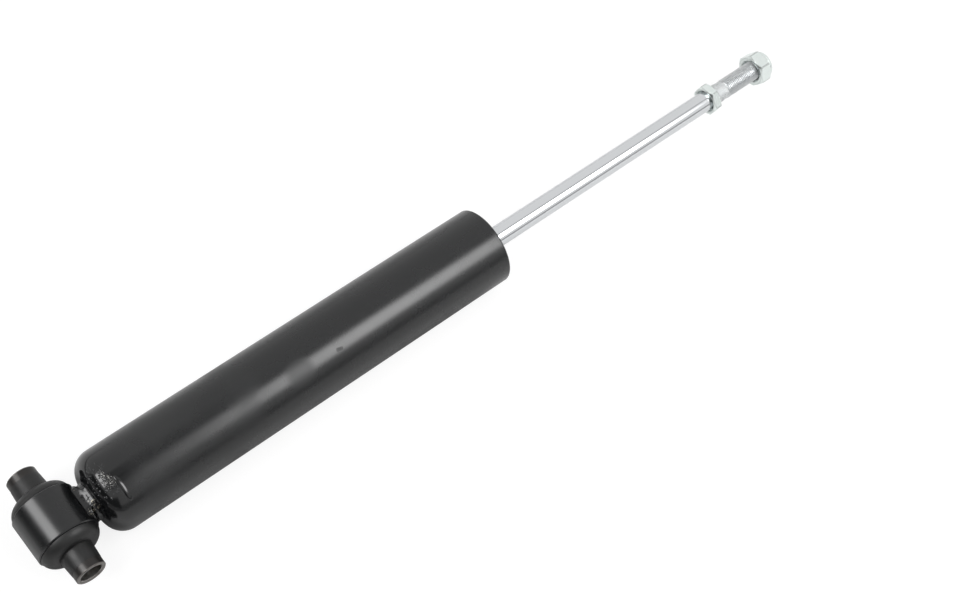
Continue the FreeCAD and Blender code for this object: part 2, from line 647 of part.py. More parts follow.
def lower_nut():
    nut = chamfered_hexagon(LOWER_NUT_X, LOWER_NUT, LOWER_NUT_AF, LOWER_NUT_TURN)
    return nut.cut(nut_bore(LOWER_NUT_X, LOWER_NUT, CORE_R + SEAT_FIT))


def insert_place():
    """Start and end of the locking insert along X."""
    end = TOP_NUT_END_X - INSERT_COVER
    return end - INSERT_HEIGHT, end


def top_nut():
    """Locking nut: hexagon with a domed collar that is rolled over the insert."""
    hex_end = TOP_NUT_X + TOP_NUT_HEX
    collar_r = TOP_NUT_COLLAR_OD / 2
    bore = CORE_R + RUNNING_FIT
    seat = bore + INSERT_WALL + SEAT_FIT
    opening = bore + INSERT_OPENING
    low, high = insert_place()
    body = chamfered_hexagon(TOP_NUT_X, TOP_NUT_HEX, TOP_NUT_AF, TOP_NUT_TURN)
    round_x = TOP_NUT_END_X - TOP_NUT_ROUND
    collar = turned((hex_end - CUT_PAST, 0), (hex_end - CUT_PAST, collar_r), (round_x, collar_r),
                    bend(round_x, collar_r - TOP_NUT_ROUND, TOP_NUT_ROUND, 90, 0),
                    (TOP_NUT_END_X, 0))
    wide = NUT_COUNTERSINK / 2
    start = TOP_NUT_X - CUT_PAST
    end = TOP_NUT_END_X + CUT_PAST
    inside = turned((start, 0), (start, wide), (TOP_NUT_X, wide), (TOP_NUT_X + wide - bore, bore),
                    (low, bore), (low, seat), (high, seat), (high, opening), (end, opening),
                    (end, 0))
    return body.fuse(collar).cut(inside)


def nylon_insert():
    inner = CORE_R + RUNNING_FIT
    low, high = insert_place()
    return tube(low, high - low, inner, inner + INSERT_WALL)


def nodes():
    """Every separate piece by name."""
    bolt_r = BOLT_DIAMETER / 2 + SEAT_FIT
    spigot_r = SPIGOT_R + SEAT_FIT
    return {
        "eye_ring": eye_ring(),
        "inner_sleeve": inner_sleeve(),
        "rubber_bush": rubber_bush(),
        "eye_weld": eye_weld(),
        "outer_tube": outer_tube(),
        "pressure_tube": pressure_tube(),
        "base_valve_body": base_valve_body(),
        "base_valve_bolt": base_valve_bolt(),
        "base_valve_washer": base_valve_washer(),
        "base_valve_nut": base_valve_nut(),
        "base_shims": shim_stack(BASE_X, BASE_SHIM_OD, bolt_r),
        "base_intake_plate": valve_plate(BASE_SEAT_X),
        "base_intake_spring": star_spring(BASE_SEAT_X + BOSS_HEIGHT, BASE_SEAT_X + VALVE_PLATE, bolt_r),
        "rod_guide": rod_guide(),
        "guide_bushing": guide_bushing(),
        "guide_o_ring": guide_o_ring(),
        "rod_seal": rod_seal(),
        "garter_spring": garter_spring(),
        "seal_plate": seal_plate(),
        "end_washer": end_washer(),
        "piston_rod": piston_rod(),
        "rebound_bumper": rebound_bumper(),
        "rebound_collar": rebound_collar(),
        "piston_washer": piston_washer(),
        "check_spring": star_spring(PISTON_TOP_X, PISTON_SEAT_X + VALVE_PLATE, spigot_r),
        "check_plate": valve_plate(PISTON_SEAT_X),
        "piston": piston(),
        "piston_band": piston_band(),
        "rebound_shims": shim_stack(PISTON_X, REBOUND_SHIM_OD, SPIGOT_R + VALVE_FIT),
        "rebound_disc": rebound_disc(),
        "rebound_spring": rebound_spring(),
        "piston_nut": piston_nut(),
        "lower_nut": lower_nut(),
        "top_nut": top_nut(),
        "nylon_insert": nylon_insert(),
    }


os.makedirs("parts", exist_ok=True)
for name, shape in nodes().items():
    if not shape.isValid():
        raise ValueError("invalid solid: " + name)
    shape.exportStep("parts/" + name + ".step")
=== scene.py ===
"""Looks of a gas shock absorber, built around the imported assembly.

Sizes are in millimetres in the classes and in metres in the scene. The origin is the centre of the
eye, +X runs along the shock absorber to the stud and +Y along the eye's sleeve.
"""

import logging
import math
import random
from collections.abc import Callable, Iterable, Sequence
from dataclasses import dataclass, field
from enum import Enum

import bmesh
import bpy
from mathutils import Matrix, Vector, noise


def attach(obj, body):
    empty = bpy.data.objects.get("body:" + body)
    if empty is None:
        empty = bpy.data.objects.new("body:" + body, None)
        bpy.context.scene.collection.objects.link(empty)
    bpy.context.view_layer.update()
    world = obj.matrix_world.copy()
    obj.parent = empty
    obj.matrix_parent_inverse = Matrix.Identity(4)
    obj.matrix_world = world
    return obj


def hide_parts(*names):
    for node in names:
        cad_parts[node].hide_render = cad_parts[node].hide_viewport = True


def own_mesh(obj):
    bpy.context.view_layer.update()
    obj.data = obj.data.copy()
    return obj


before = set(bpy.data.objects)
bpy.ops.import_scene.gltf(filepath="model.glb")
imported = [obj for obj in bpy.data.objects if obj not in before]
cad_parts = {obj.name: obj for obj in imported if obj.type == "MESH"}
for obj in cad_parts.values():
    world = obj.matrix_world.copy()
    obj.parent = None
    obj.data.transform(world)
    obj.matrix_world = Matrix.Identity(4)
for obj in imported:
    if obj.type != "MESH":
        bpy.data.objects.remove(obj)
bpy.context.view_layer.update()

LOG = logging.getLogger("scene")
MM = 0.001
# Nearly all of a noise texture's values lie between these two.
NOISE_LOW, NOISE_HIGH = 0.3, 0.7
# Points nearer than this in metres are merged, and faces flatter than this are dropped.
MERGE_M, FLAT_M = 1e-6, 1e-7
# Pitch of the stud's fine thread, in millimetres.
STUD_PITCH = 1.25

Point = tuple[float, float, float]
Profile = Sequence[tuple[float, float]]


def linear(code: str) -> tuple[float, float, float, float]:
    """Turn an sRGB hex colour into linear RGBA.

    Args:
        code: Six hex digits with a leading hash.

    Returns:
        The colour as Blender's sockets take it.
    """
    parts = [int(code[i : i + 2], 16) / 255 for i in (1, 3, 5)]
    rgb = [c / 12.92 if c <= 0.04045 else ((c + 0.055) / 1.055) ** 2.4 for c in parts]
    return (rgb[0], rgb[1], rgb[2], 1.0)


def add_node(tree: bpy.types.NodeTree, kind: str, settings: dict | None = None,
             inputs: dict | None = None) -> bpy.types.Node:
    """Add one shader node with its settings, values and links.

    Args:
        tree: Node tree that takes the node.
        kind: Blender's node type.
        settings: Attributes of the node.
        inputs: Values or output sockets by input name or index.

    Returns:
        The new node.
    """
    node = tree.nodes.new(kind)
    for name, value in (settings or {}).items():
        setattr(node, name, value)
    for key, value in (inputs or {}).items():
        if isinstance(value, bpy.types.NodeSocket):
            tree.links.new(value, node.inputs[key])
        else:
            node.inputs[key].default_value = value
    return node


class Lay(Enum):
    """Direction in which a surface's grain is stretched."""

    NONE = (1.0, 1.0, 1.0)
    TURNED = (1.0, 0.03, 0.03)
    DRAWN = (0.02, 1.0, 1.0)


@dataclass(frozen=True)
class Finish:
    """One real surface: a material and how it was worked.

    The colour and the roughness wander in blotches of mottle_mm, the roughness by swing either way.
    """

    name: str
    colour: str
    second: str
    metallic: float
    roughness: float
    swing: float = 0.05
    mottle_mm: float = 6.0
    grain_mm: float = 0.5
    depth_mm: float = 0.0
    lay: Lay = Lay.NONE
    ior: float = 1.5

    def build(self) -> bpy.types.Material:
        """Make the material, or take it if it is already there.

        Returns:
            The material.
        """
        made = bpy.data.materials.get(self.name)
        if made:
            return made
        made = bpy.data.materials.new(self.name)
        made.use_nodes = True
        tree = made.node_tree
        shader = tree.nodes["Principled BSDF"]
        place = add_node(tree, "ShaderNodeTexCoord").outputs["Object"]
        self.colour_nodes(tree, shader, place)
        self.relief_nodes(tree, shader, place)
        shader.inputs["Metallic"].default_value = self.metallic
        if not self.metallic:
            shader.inputs["IOR"].default_value = self.ior
        return made

    def noise_at(self, tree: bpy.types.NodeTree, place: bpy.types.NodeSocket, size_mm: float,
                 lay: Lay, detail: float = 3.0) -> bpy.types.NodeSocket:
        """Noise whose lumps are about size_mm wide.

        Args:
            tree: Node tree.
            place: Position in metres.
            size_mm: Width of one lump.
            lay: Direction in which the lumps are stretched.
            detail: Octaves.

        Returns:
            The noise's value, from 0 to 1.
        """
        scale = [axis / (size_mm * MM) for axis in lay.value]
        mapped = add_node(tree, "ShaderNodeMapping", {}, {"Vector": place, "Scale": scale})
        return add_node(tree, "ShaderNodeTexNoise", {}, {
            "Vector": mapped.outputs["Vector"], "Scale": 1.0, "Detail": detail,
        }).outputs["Fac"]

    def colour_nodes(self, tree: bpy.types.NodeTree, shader: bpy.types.Node,
                     place: bpy.types.NodeSocket) -> None:
        """Mix the two colours, and let the roughness follow the same blotches.

        Args:
            tree: The material's node tree.
            shader: Its shader node.
            place: Position in metres.
        """
        blotch = self.noise_at(tree, place, self.mottle_mm, Lay.NONE)
        mixed = add_node(tree, "ShaderNodeMix", {"data_type": "RGBA"}, {
            0: blotch, 6: linear(self.colour), 7: linear(self.second)})
        tree.links.new(mixed.outputs[2], shader.inputs["Base Color"])
        rough = add_node(tree, "ShaderNodeMapRange", {}, {
            "Value": blotch, "From Min": NOISE_LOW, "From Max": NOISE_HIGH,
            "To Min": self.roughness - self.swing, "To Max": self.roughness + self.swing})
        tree.links.new(rough.outputs["Result"], shader.inputs["Roughness"])

    def relief_nodes(self, tree: bpy.types.NodeTree, shader: bpy.types.Node,
                     place: bpy.types.NodeSocket) -> None:
        """Add the fine grain as a bump.

        Args:
            tree: The material's node tree.
            shader: Its shader node.
            place: Position in metres.
        """
        if not self.depth_mm:
            return
        grain = self.noise_at(tree, place, self.grain_mm, self.lay)
        bump = add_node(tree, "ShaderNodeBump", {}, {
            "Height": grain, "Distance": self.depth_mm * MM, "Strength": 1.0})
        tree.links.new(bump.outputs["Normal"], shader.inputs["Normal"])


@dataclass(frozen=True)
class PooledEnamel(Finish):
    """Enamel on the tube: glossier where it ran together, rubbed dull in places.

    Each scuff is a centre and a reach in millimetres, and what it adds to the roughness.
    """

    matt_x_mm: float = 48.0
    glossy_x_mm: float = 27.0
    glossy: float = 0.08
    rub_mm: float = 34.0
    rub: float = 0.10
    rubbed_from: float = 0.56
    rubbed_fully: float = 0.64
    scuff_core: float = 0.5
    scuffs: tuple[tuple[Point, float, float], ...] = (
        ((141.0, -11.5, 19.9), 10.0, 0.12),
        ((164.7, -12.2, 19.5), 1.5, 0.17), ((166.4, -12.5, 19.3), 1.5, 0.17))

    def colour_nodes(self, tree: bpy.types.NodeTree, shader: bpy.types.Node,
                     place: bpy.types.NodeSocket) -> None:
        """Enamel as elsewhere, glossier towards the closed end and duller where it is rubbed.

        Args:
            tree: The material's node tree.
            shader: Its shader node.
            place: Position in metres.
        """
        super().colour_nodes(tree, shader, place)
        even = shader.inputs["Roughness"].links[0].from_socket
        along = add_node(tree, "ShaderNodeSeparateXYZ", {}, {"Vector": place}).outputs["X"]
        share = add_node(tree, "ShaderNodeMapRange", {"interpolation_type": "SMOOTHSTEP"}, {
            "Value": along, "From Min": self.glossy_x_mm * MM, "From Max": self.matt_x_mm * MM,
            "To Min": self.glossy / self.roughness, "To Max": 1.0}).outputs["Result"]
        scaled = add_node(tree, "ShaderNodeMath", {"operation": "MULTIPLY"}, {0: even, 1: share})
        patches = self.noise_at(tree, place, self.rub_mm, Lay.NONE, detail=5.0)
        rubbed = add_node(tree, "ShaderNodeMapRange", {}, {
            "Value": patches, "From Min": self.rubbed_from, "From Max": self.rubbed_fully,
            "To Max": self.rub})
        dull = add_node(tree, "ShaderNodeMath", {"operation": "ADD"}, {
            0: scaled.outputs[0], 1: rubbed.outputs["Result"]})
        for centre, reach, extra in self.scuffs:
            away = add_node(tree, "ShaderNodeVectorMath", {"operation": "DISTANCE"}, {
                0: place, 1: tuple(c * MM for c in centre)})
            spot = add_node(tree, "ShaderNodeMapRange", {"interpolation_type": "SMOOTHSTEP"}, {
                "Value": away.outputs["Value"], "From Min": reach * MM,
                "From Max": self.scuff_core * reach * MM, "To Min": 0.0, "To Max": extra})
            dull = add_node(tree, "ShaderNodeMath", {"operation": "ADD"}, {
                0: dull.outputs[0], 1: spot.outputs["Result"]})
        tree.links.new(dull.outputs[0], shader.inputs["Roughness"])


@dataclass(frozen=True)
class CutEnds(Finish):
    """Dark tube along Y whose cut ends, chamfers and bore are bare steel, brightest in the bore."""

    bare: str = "#6c6966"
    bored: str = "#a9a6a3"
    end_mm: float = 31.45
    bore_mm: float = 6.9
    bore_wall_mm: float = 6.3
    blend_mm: float = 0.1

    def colour_nodes(self, tree: bpy.types.NodeTree, shader: bpy.types.Node,
                     place: bpy.types.NodeSocket) -> None:
        """Dark finish outside, bare steel on the ends and in the bore.

        Args:
            tree: The material's node tree.
            shader: Its shader node.
            place: Position in metres.
        """
        super().colour_nodes(tree, shader, place)
        dark = shader.inputs["Base Color"].links[0].from_socket
        axes = add_node(tree, "ShaderNodeSeparateXYZ", {}, {"Vector": place})
        along = add_node(tree, "ShaderNodeMath", {"operation": "ABSOLUTE"}, {0: axes.outputs["Y"]})
        at_end = add_node(tree, "ShaderNodeMapRange", {}, {
            "Value": along.outputs[0], "From Min": (self.end_mm - self.blend_mm) * MM,
            "From Max": self.end_mm * MM}).outputs["Result"]
        flat = add_node(tree, "ShaderNodeCombineXYZ", {}, {
            "X": axes.outputs["X"], "Z": axes.outputs["Z"]}).outputs["Vector"]
        out = add_node(tree, "ShaderNodeVectorMath", {"operation": "LENGTH"}, {
            0: flat}).outputs["Value"]
        in_bore, on_wall = (add_node(tree, "ShaderNodeMapRange", {}, {
            "Value": out, "From Min": radius * MM,
            "From Max": (radius - self.blend_mm) * MM}).outputs["Result"]
            for radius in (self.bore_mm, self.bore_wall_mm))
        cut = add_node(tree, "ShaderNodeMath", {"operation": "MAXIMUM"}, {0: at_end, 1: in_bore})
        steel = add_node(tree, "ShaderNodeMix", {"data_type": "RGBA"}, {
            0: on_wall, 6: linear(self.bare), 7: linear(self.bored)})
        mixed = add_node(tree, "ShaderNodeMix", {"data_type": "RGBA"}, {
            0: cut.outputs[0], 6: dark, 7: steel.outputs[2]})
        metal = add_node(tree, "ShaderNodeMapRange", {}, {
            "Value": cut.outputs[0], "To Min": self.metallic, "To Max": 1.0}).outputs["Result"]
        tree.links.new(mixed.outputs[2], shader.inputs["Base Color"])
        tree.links.new(metal, shader.inputs["Metallic"])


@dataclass(frozen=True)
class WornEnamel(Finish):
    """Enamel that has broken off the crests of the weld, so that bare steel shows through."""

    bare: str = "#7f7b70"
    bare_roughness: float = 0.42
    chip_mm: float = 1.2
    centre_mm: Point = (19.0, -7.0, 9.0)
    reach_mm: float = 6.0
    core_share: float = 0.3
    core_lift: float = 0.16
    worn_from: float = 0.71
    worn_fully: float = 0.77

    def colour_nodes(self, tree: bpy.types.NodeTree, shader: bpy.types.Node,
                     place: bpy.types.NodeSocket) -> None:
        """Enamel as elsewhere, with bare steel where chips and the worn place meet.

        Args:
            tree: The material's node tree.
            shader: Its shader node.
            place: Position in metres.
        """
        super().colour_nodes(tree, shader, place)
        enamel = shader.inputs["Base Color"].links[0].from_socket
        chips = self.noise_at(tree, place, self.chip_mm, Lay.NONE, detail=4.0)
        away = add_node(tree, "ShaderNodeVectorMath", {"operation": "DISTANCE"}, {
            0: place, 1: tuple(c * MM for c in self.centre_mm)}).outputs["Value"]
        near = add_node(tree, "ShaderNodeMapRange", {"interpolation_type": "SMOOTHSTEP"}, {
            "Value": away, "From Min": self.reach_mm * MM,
            "From Max": self.core_share * self.reach_mm * MM,
            "To Min": 0.0, "To Max": self.core_lift}).outputs["Result"]
        raised = add_node(tree, "ShaderNodeMath", {"operation": "ADD"}, {0: chips, 1: near})
        worn = add_node(tree, "ShaderNodeMapRange", {}, {
            "Value": raised.outputs[0], "From Min": self.worn_from,
            "From Max": self.worn_fully}).outputs["Result"]
        mixed = add_node(tree, "ShaderNodeMix", {"data_type": "RGBA"}, {
            0: worn, 6: enamel, 7: linear(self.bare)})
        smooth = shader.inputs["Roughness"].links[0].from_socket
        rough = add_node(tree, "ShaderNodeMix", {}, {0: worn, 2: smooth, 3: self.bare_roughness})
        tree.links.new(rough.outputs[0], shader.inputs["Roughness"])
        tree.links.new(mixed.outputs[2], shader.inputs["Base Color"])
        tree.links.new(worn, shader.inputs["Metallic"])


# Baked satin enamel: near-black, with a soft broad highlight and a faint orange peel.
BLACK_ENAMEL = Finish("steel_black_baked_enamel", "#0b0c0d", "#0f1011", 0.0, 0.27, 0.015,
                      mottle_mm=14.0, grain_mm=1.6, depth_mm=0.003)
# The tube hung by its stud to dry, so the enamel ran down and lies glossier on the closed end.
POOLED_ENAMEL = PooledEnamel("steel_black_enamel_pooled", "#0b0c0d", "#0f1011", 0.0, 0.27, 0.015,
                             mottle_mm=14.0, grain_mm=1.6, depth_mm=0.003)
# The same enamel over a weld, where it lies thick and glossy on the ripples.
WELD_ENAMEL = WornEnamel("weld_black_baked_enamel", "#08090a", "#0e0f10", 0.0, 0.20, 0.04,
                         mottle_mm=2.0, grain_mm=0.7, depth_mm=0.004)
# Spatter on the tube's end, where handling has taken the enamel off the tops of the drops.
SPATTER_ENAMEL = WornEnamel("spatter_black_baked_enamel", "#101112", "#17181a", 0.0, 0.22, 0.05,
                            mottle_mm=2.0, bare="#a9a8a4", bare_roughness=0.36, chip_mm=0.5,
                            centre_mm=(29.5, -3.0, 22.5), reach_mm=9.0)
# A run of enamel, thick enough to dry nearly as smooth as glass.
RUN_ENAMEL = Finish("run_black_baked_enamel", "#08090a", "#0b0c0d", 0.0, 0.15, 0.02, mottle_mm=4.0)
# Moulded natural rubber: satin black with a greyish bloom.
MOULDED_RUBBER = Finish("rubber_moulded_black", "#0f0f0f", "#151515", 0.0, 0.46, 0.05,
                        mottle_mm=4.0, grain_mm=0.35, depth_mm=0.012, ior=1.42)
# Seamless steel tube, phosphated dark brown-black and oiled.
PHOSPHATED = Finish("steel_phosphated_dark", "#1d1b1a", "#262321", 0.35, 0.34, 0.05,
                    mottle_mm=3.0, grain_mm=0.22, depth_mm=0.008)
# The bush's sleeve, phosphated before it was faced and bored: bare grey steel shows there.
SLEEVE_TUBE = CutEnds("steel_phosphated_faced", "#1d1b1a", "#262321", 0.35, 0.34, 0.05,
                      mottle_mm=3.0, grain_mm=0.22, depth_mm=0.008)
# Hard chrome, centreless ground and polished: a faintly bluish mirror with no grain to be seen.
HARD_CHROME = Finish("steel_hard_chrome_polished", "#cbcdcf", "#d0d2d4", 1.0, 0.07, 0.01,
                     mottle_mm=20.0)
# Bright zinc with a clear passivate: pale, slightly green, softly glossy.
BRIGHT_ZINC = Finish("steel_bright_zinc_plated", "#d9e1de", "#e0e6e4", 1.0, 0.22, 0.04,
                     mottle_mm=3.0, grain_mm=0.4, depth_mm=0.006)
# The same zinc on the edges of the nuts, coloured darker grey as a painted reflection of the dark
# room.
ZINC_EDGE_DARK_REFLECTION = Finish("steel_bright_zinc_edge_dark_reflection", "#b2b8b6", "#c2c7c5", 1.0, 0.20, 0.03, mottle_mm=1.5)
# The stud's plain end, turned and thinly zinc plated: matt, greyer than chrome, with fine rings.
TURNED_END = Finish("steel_turned_zinc_flashed", "#adafb0", "#d2d4d4", 1.0, 0.76, 0.08,
                    mottle_mm=1.6, grain_mm=0.35, depth_mm=0.012, lay=Lay.TURNED)
# The rolled thread of the stud, left as rolled: greyer, with fine marks round it.
ROLLED_THREAD = Finish("steel_thread_rolled", "#c0c2c3", "#cbcdce", 1.0, 0.42, 0.06,
                       mottle_mm=2.0, grain_mm=0.3, depth_mm=0.004, lay=Lay.TURNED)
# Turned and washed steel of the hidden pieces: fine rings round the axis.
TURNED_STEEL = Finish("steel_turned_bright", "#a9abad", "#b7b9ba", 1.0, 0.30, 0.06,
                      mottle_mm=5.0, grain_mm=0.25, depth_mm=0.004, lay=Lay.TURNED)
# Cold-drawn tube: faint lines along it.
DRAWN_STEEL = Finish("steel_cold_drawn", "#9fa2a5", "#aeb1b3", 1.0, 0.28, 0.05,
                     mottle_mm=8.0, grain_mm=0.5, depth_mm=0.004, lay=Lay.DRAWN)
# Blued spring steel of the shims, plates and springs.
SPRING_STEEL = Finish("steel_spring_blued", "#5c6069", "#6c6e74", 1.0, 0.32, 0.05, mottle_mm=3.0)
# Sintered iron, steam treated: dark grey with fine pores.
SINTERED_IRON = Finish("iron_sintered_steam_treated", "#4a4b4d", "#5b5b5a", 0.8, 0.52, 0.06,
                       mottle_mm=1.2, grain_mm=0.18, depth_mm=0.02)
# Bronze-backed PTFE liner.
LINER = Finish("bronze_ptfe_liner", "#8a6f4a", "#77624a", 0.6, 0.42, 0.05, mottle_mm=0.8)
# Filled PTFE: soft brown-grey and matt.
FILLED_PTFE = Finish("ptfe_bronze_filled", "#5e5142", "#6b5d4b", 0.0, 0.50, 0.05, mottle_mm=1.0)
# Natural nylon of the locking ring.
NYLON = Finish("nylon_natural_moulded", "#d8d8cf", "#e0dfd7", 0.0, 0.40, 0.04, mottle_mm=2.0)


def link_object(name: str, data: bpy.types.ID) -> bpy.types.Object:
    """Put an object into the scene.

    Args:
        name: Name of the object.
        data: Its mesh, light or camera.

    Returns:
        The object.
    """
    made = bpy.data.objects.new(name, data)
    bpy.context.scene.collection.objects.link(made)
    return made


def new_object(name: str, points: Iterable[Sequence[float]], faces: Sequence[Sequence[int]],
               finish: Finish, sharp_deg: float = 35.0) -> bpy.types.Object:
    """Make a smooth-shaded mesh object from points in millimetres.

    Args:
        name: Name of the piece.
        points: Vertices in millimetres.
        faces: Vertex numbers of each face.
        finish: Surface of the piece.
        sharp_deg: Edges with a larger angle stay sharp.

    Returns:
        The linked object.
    """
    mesh = bpy.data.meshes.new(name)
    mesh.from_pydata([Vector(p) * MM for p in points], [], faces)
    tidy_mesh(mesh, sharp_deg)
    mesh.materials.append(finish.build())
    return link_object(name, mesh)


def tidy_mesh(mesh: bpy.types.Mesh, sharp_deg: float) -> None:
    """Merge doubles, drop flat faces, turn all faces outwards and set smooth and sharp edges.

    Args:
        mesh: The mesh to tidy, in metres.
        sharp_deg: Edges with a larger angle stay sharp.
    """
    work = bmesh.new()
    work.from_mesh(mesh)
    bmesh.ops.remove_doubles(work, verts=work.verts, dist=MERGE_M)
    bmesh.ops.dissolve_degenerate(work, dist=FLAT_M, edges=work.edges)
    bmesh.ops.recalc_face_normals(work, faces=work.faces)
    for face in work.faces:
        face.smooth = True
    limit = math.radians(sharp_deg)
    for edge in work.edges:
        edge.smooth = len(edge.link_faces) != 2 or edge.calc_face_angle(0.0) < limit
    work.to_mesh(mesh)
    work.free()


def grid_faces(rows: int, columns: int, start: int = 0) -> list[tuple[int, int, int, int]]:
    """Quads of a grid that closes on itself along each row.

    Args:
        rows: Number of rows.
        columns: Points in each row.
        start: Number of the grid's first vertex.

    Returns:
        Vertex numbers of each quad.
    """
    faces = []
    for i in range(rows - 1):
        for j in range(columns):
            a = start + i * columns + j
            b = start + i * columns + (j + 1) % columns
            faces.append((a, b, b + columns, a + columns))
    return faces


def turned_points(profile: Profile, columns: int) -> list[Point]:
    """Points of a profile turned about X.

    Args:
        profile: The profile as (x, r).
        columns: Points round the axis.

    Returns:
        The points, one ring after the other.
    """
    points = []
    for x, r in profile:
        for j in range(columns):
            a = 2 * math.pi * j / columns
            points.append((x, r * math.cos(a), r * math.sin(a)))
    return points


@dataclass(frozen=True)
class Thread:
    """A metric thread about X, as a surface whose grid follows the helix.

    crest_share and root_share are where the crest ends and the root begins, as shares of the pitch
    from the middle of the crest, and depth_share is the depth as a share of the pitch.
    """

    pitch: float
    major_r: float
    start: float
    end: float
    chamfer: float = 0.8
    inside: bool = False
    columns: int = 64
    crest_share: float = 1 / 16
    root_share: float = 3 / 8
    depth_share: float = 0.6134

    @property
    def minor_r(self) -> float:
        """Radius of the root, or of the crest of an inside thread."""
        return self.major_r - self.depth_share * self.pitch

    def radius(self, phase: float, x: float) -> float:
        """Radius at a share of the pitch, cut down near the ends.

        Args:
            phase: Share of one pitch, from the middle of the crest.
            x: Place along X.

        Returns:
            The radius in millimetres.
        """
        fall = min(max((min(phase, 1 - phase) - self.crest_share) /
                       (self.root_share - self.crest_share), 0.0), 1.0)
        r = self.major_r - (self.major_r - self.minor_r) * fall
        reach = min(x - self.start, self.end - x) + self.chamfer_floor
        limit = self.minor_r + max(reach, 0.0)
        if self.inside:
            return max(r, self.major_r - max(reach, 0.0))
        return min(r, limit)

    @property
    def chamfer_floor(self) -> float:
        """How much of the depth stands at the very end."""
        return (self.major_r - self.minor_r) - self.chamfer

    def surface(self) -> tuple[list[Point], int]:
        """Lay the grid along the helix.

        Returns:
            The thread's points and the number of rows in its grid.
        """
        stops = (0.0, self.crest_share, self.root_share, 1 - self.root_share, 1 - self.crest_share)
        turns = math.ceil((self.end - self.start) / self.pitch) + 2
        points = []
        rows = 0
        for turn in range(-1, turns):
            for stop in stops:
                for j in range(self.columns):
                    a = 2 * math.pi * j / self.columns
                    x = self.start + (turn + stop + j / self.columns) * self.pitch
                    x = min(max(x, self.start), self.end)
                    phase = ((x - self.start) / self.pitch - j / self.columns) % 1.0
                    r = self.radius(phase, x)
                    points.append((x, r * math.cos(a), r * math.sin(a)))
                rows += 1
        return points, rows


def arc(centre: tuple[float, float], radius: float, start_deg: float, end_deg: float,
        steps: int) -> list[tuple[float, float]]:
    """Points of an arc in a profile, both ends included.

    Args:
        centre: Its centre as (x, r).
        radius: Its radius.
        start_deg: Angle of the first point from +X.
        end_deg: Angle of the last point.
        steps: Number of chords.

    Returns:
        The points as (x, r).
    """
    points = []
    for i in range(steps + 1):
        a = math.radians(start_deg + (end_deg - start_deg) * i / steps)
        points.append((centre[0] + radius * math.cos(a), centre[1] + radius * math.sin(a)))
    return points


@dataclass
class ReserveTube:
    """The outer tube, closed and rounded at the eye and rolled over the seal at the rod.

    arc_steps are the chords of the closed end's corner, of the rolled edge and of the inside corner.
    """

    start: float = 20.3
    rim_x: float = 279.0
    radius: float = 23.0
    wall: float = 1.5
    floor: float = 2.5
    corner: float = 11.5
    inner_corner: float = 8.0
    lip_r: float = 16.0
    lip_edge: float = 1.1
    lip_chamfer: float = 0.25
    flat_margin: float = 0.01
    arc_steps: tuple[int, int, int] = (26, 6, 12)
    columns: int = 192

    def profile(self) -> list[tuple[float, float]]:
        """Outline from the middle of the closed end, outside and back inside.

        Returns:
            The outline as (x, r).
        """
        inside = self.radius - self.wall
        inner_x = self.start + self.floor + self.inner_corner
        corner_steps, lip_steps, inner_steps = self.arc_steps
        outline = [(self.start, 0.0), (self.start, self.radius - self.corner - self.flat_margin)]
        outline += arc((self.start + self.corner, self.radius - self.corner), self.corner,
                       180, 90, corner_steps)
        outline += arc((self.rim_x - self.lip_edge, self.radius - self.lip_edge), self.lip_edge,
                       90, 0, lip_steps)
        outline += [(self.rim_x, self.lip_r + self.lip_chamfer),
                    (self.rim_x - self.lip_chamfer, self.lip_r),
                    (self.rim_x - self.wall, self.lip_r), (self.rim_x - self.wall, inside)]
        outline += arc((inner_x, inside - self.inner_corner), self.inner_corner, 90, 180, inner_steps)
        return outline + [(self.start + self.floor, 0.0)]

    def build(self) -> list[bpy.types.Object]:
        """Build the tube.

        Returns:
            The one piece.
        """
        profile = self.profile()
        made = new_object("reserve_tube", turned_points(profile, self.columns),
                          grid_faces(len(profile), self.columns), POOLED_ENAMEL)
        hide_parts("outer_tube")
        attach(made, "barrel")
        return [made]


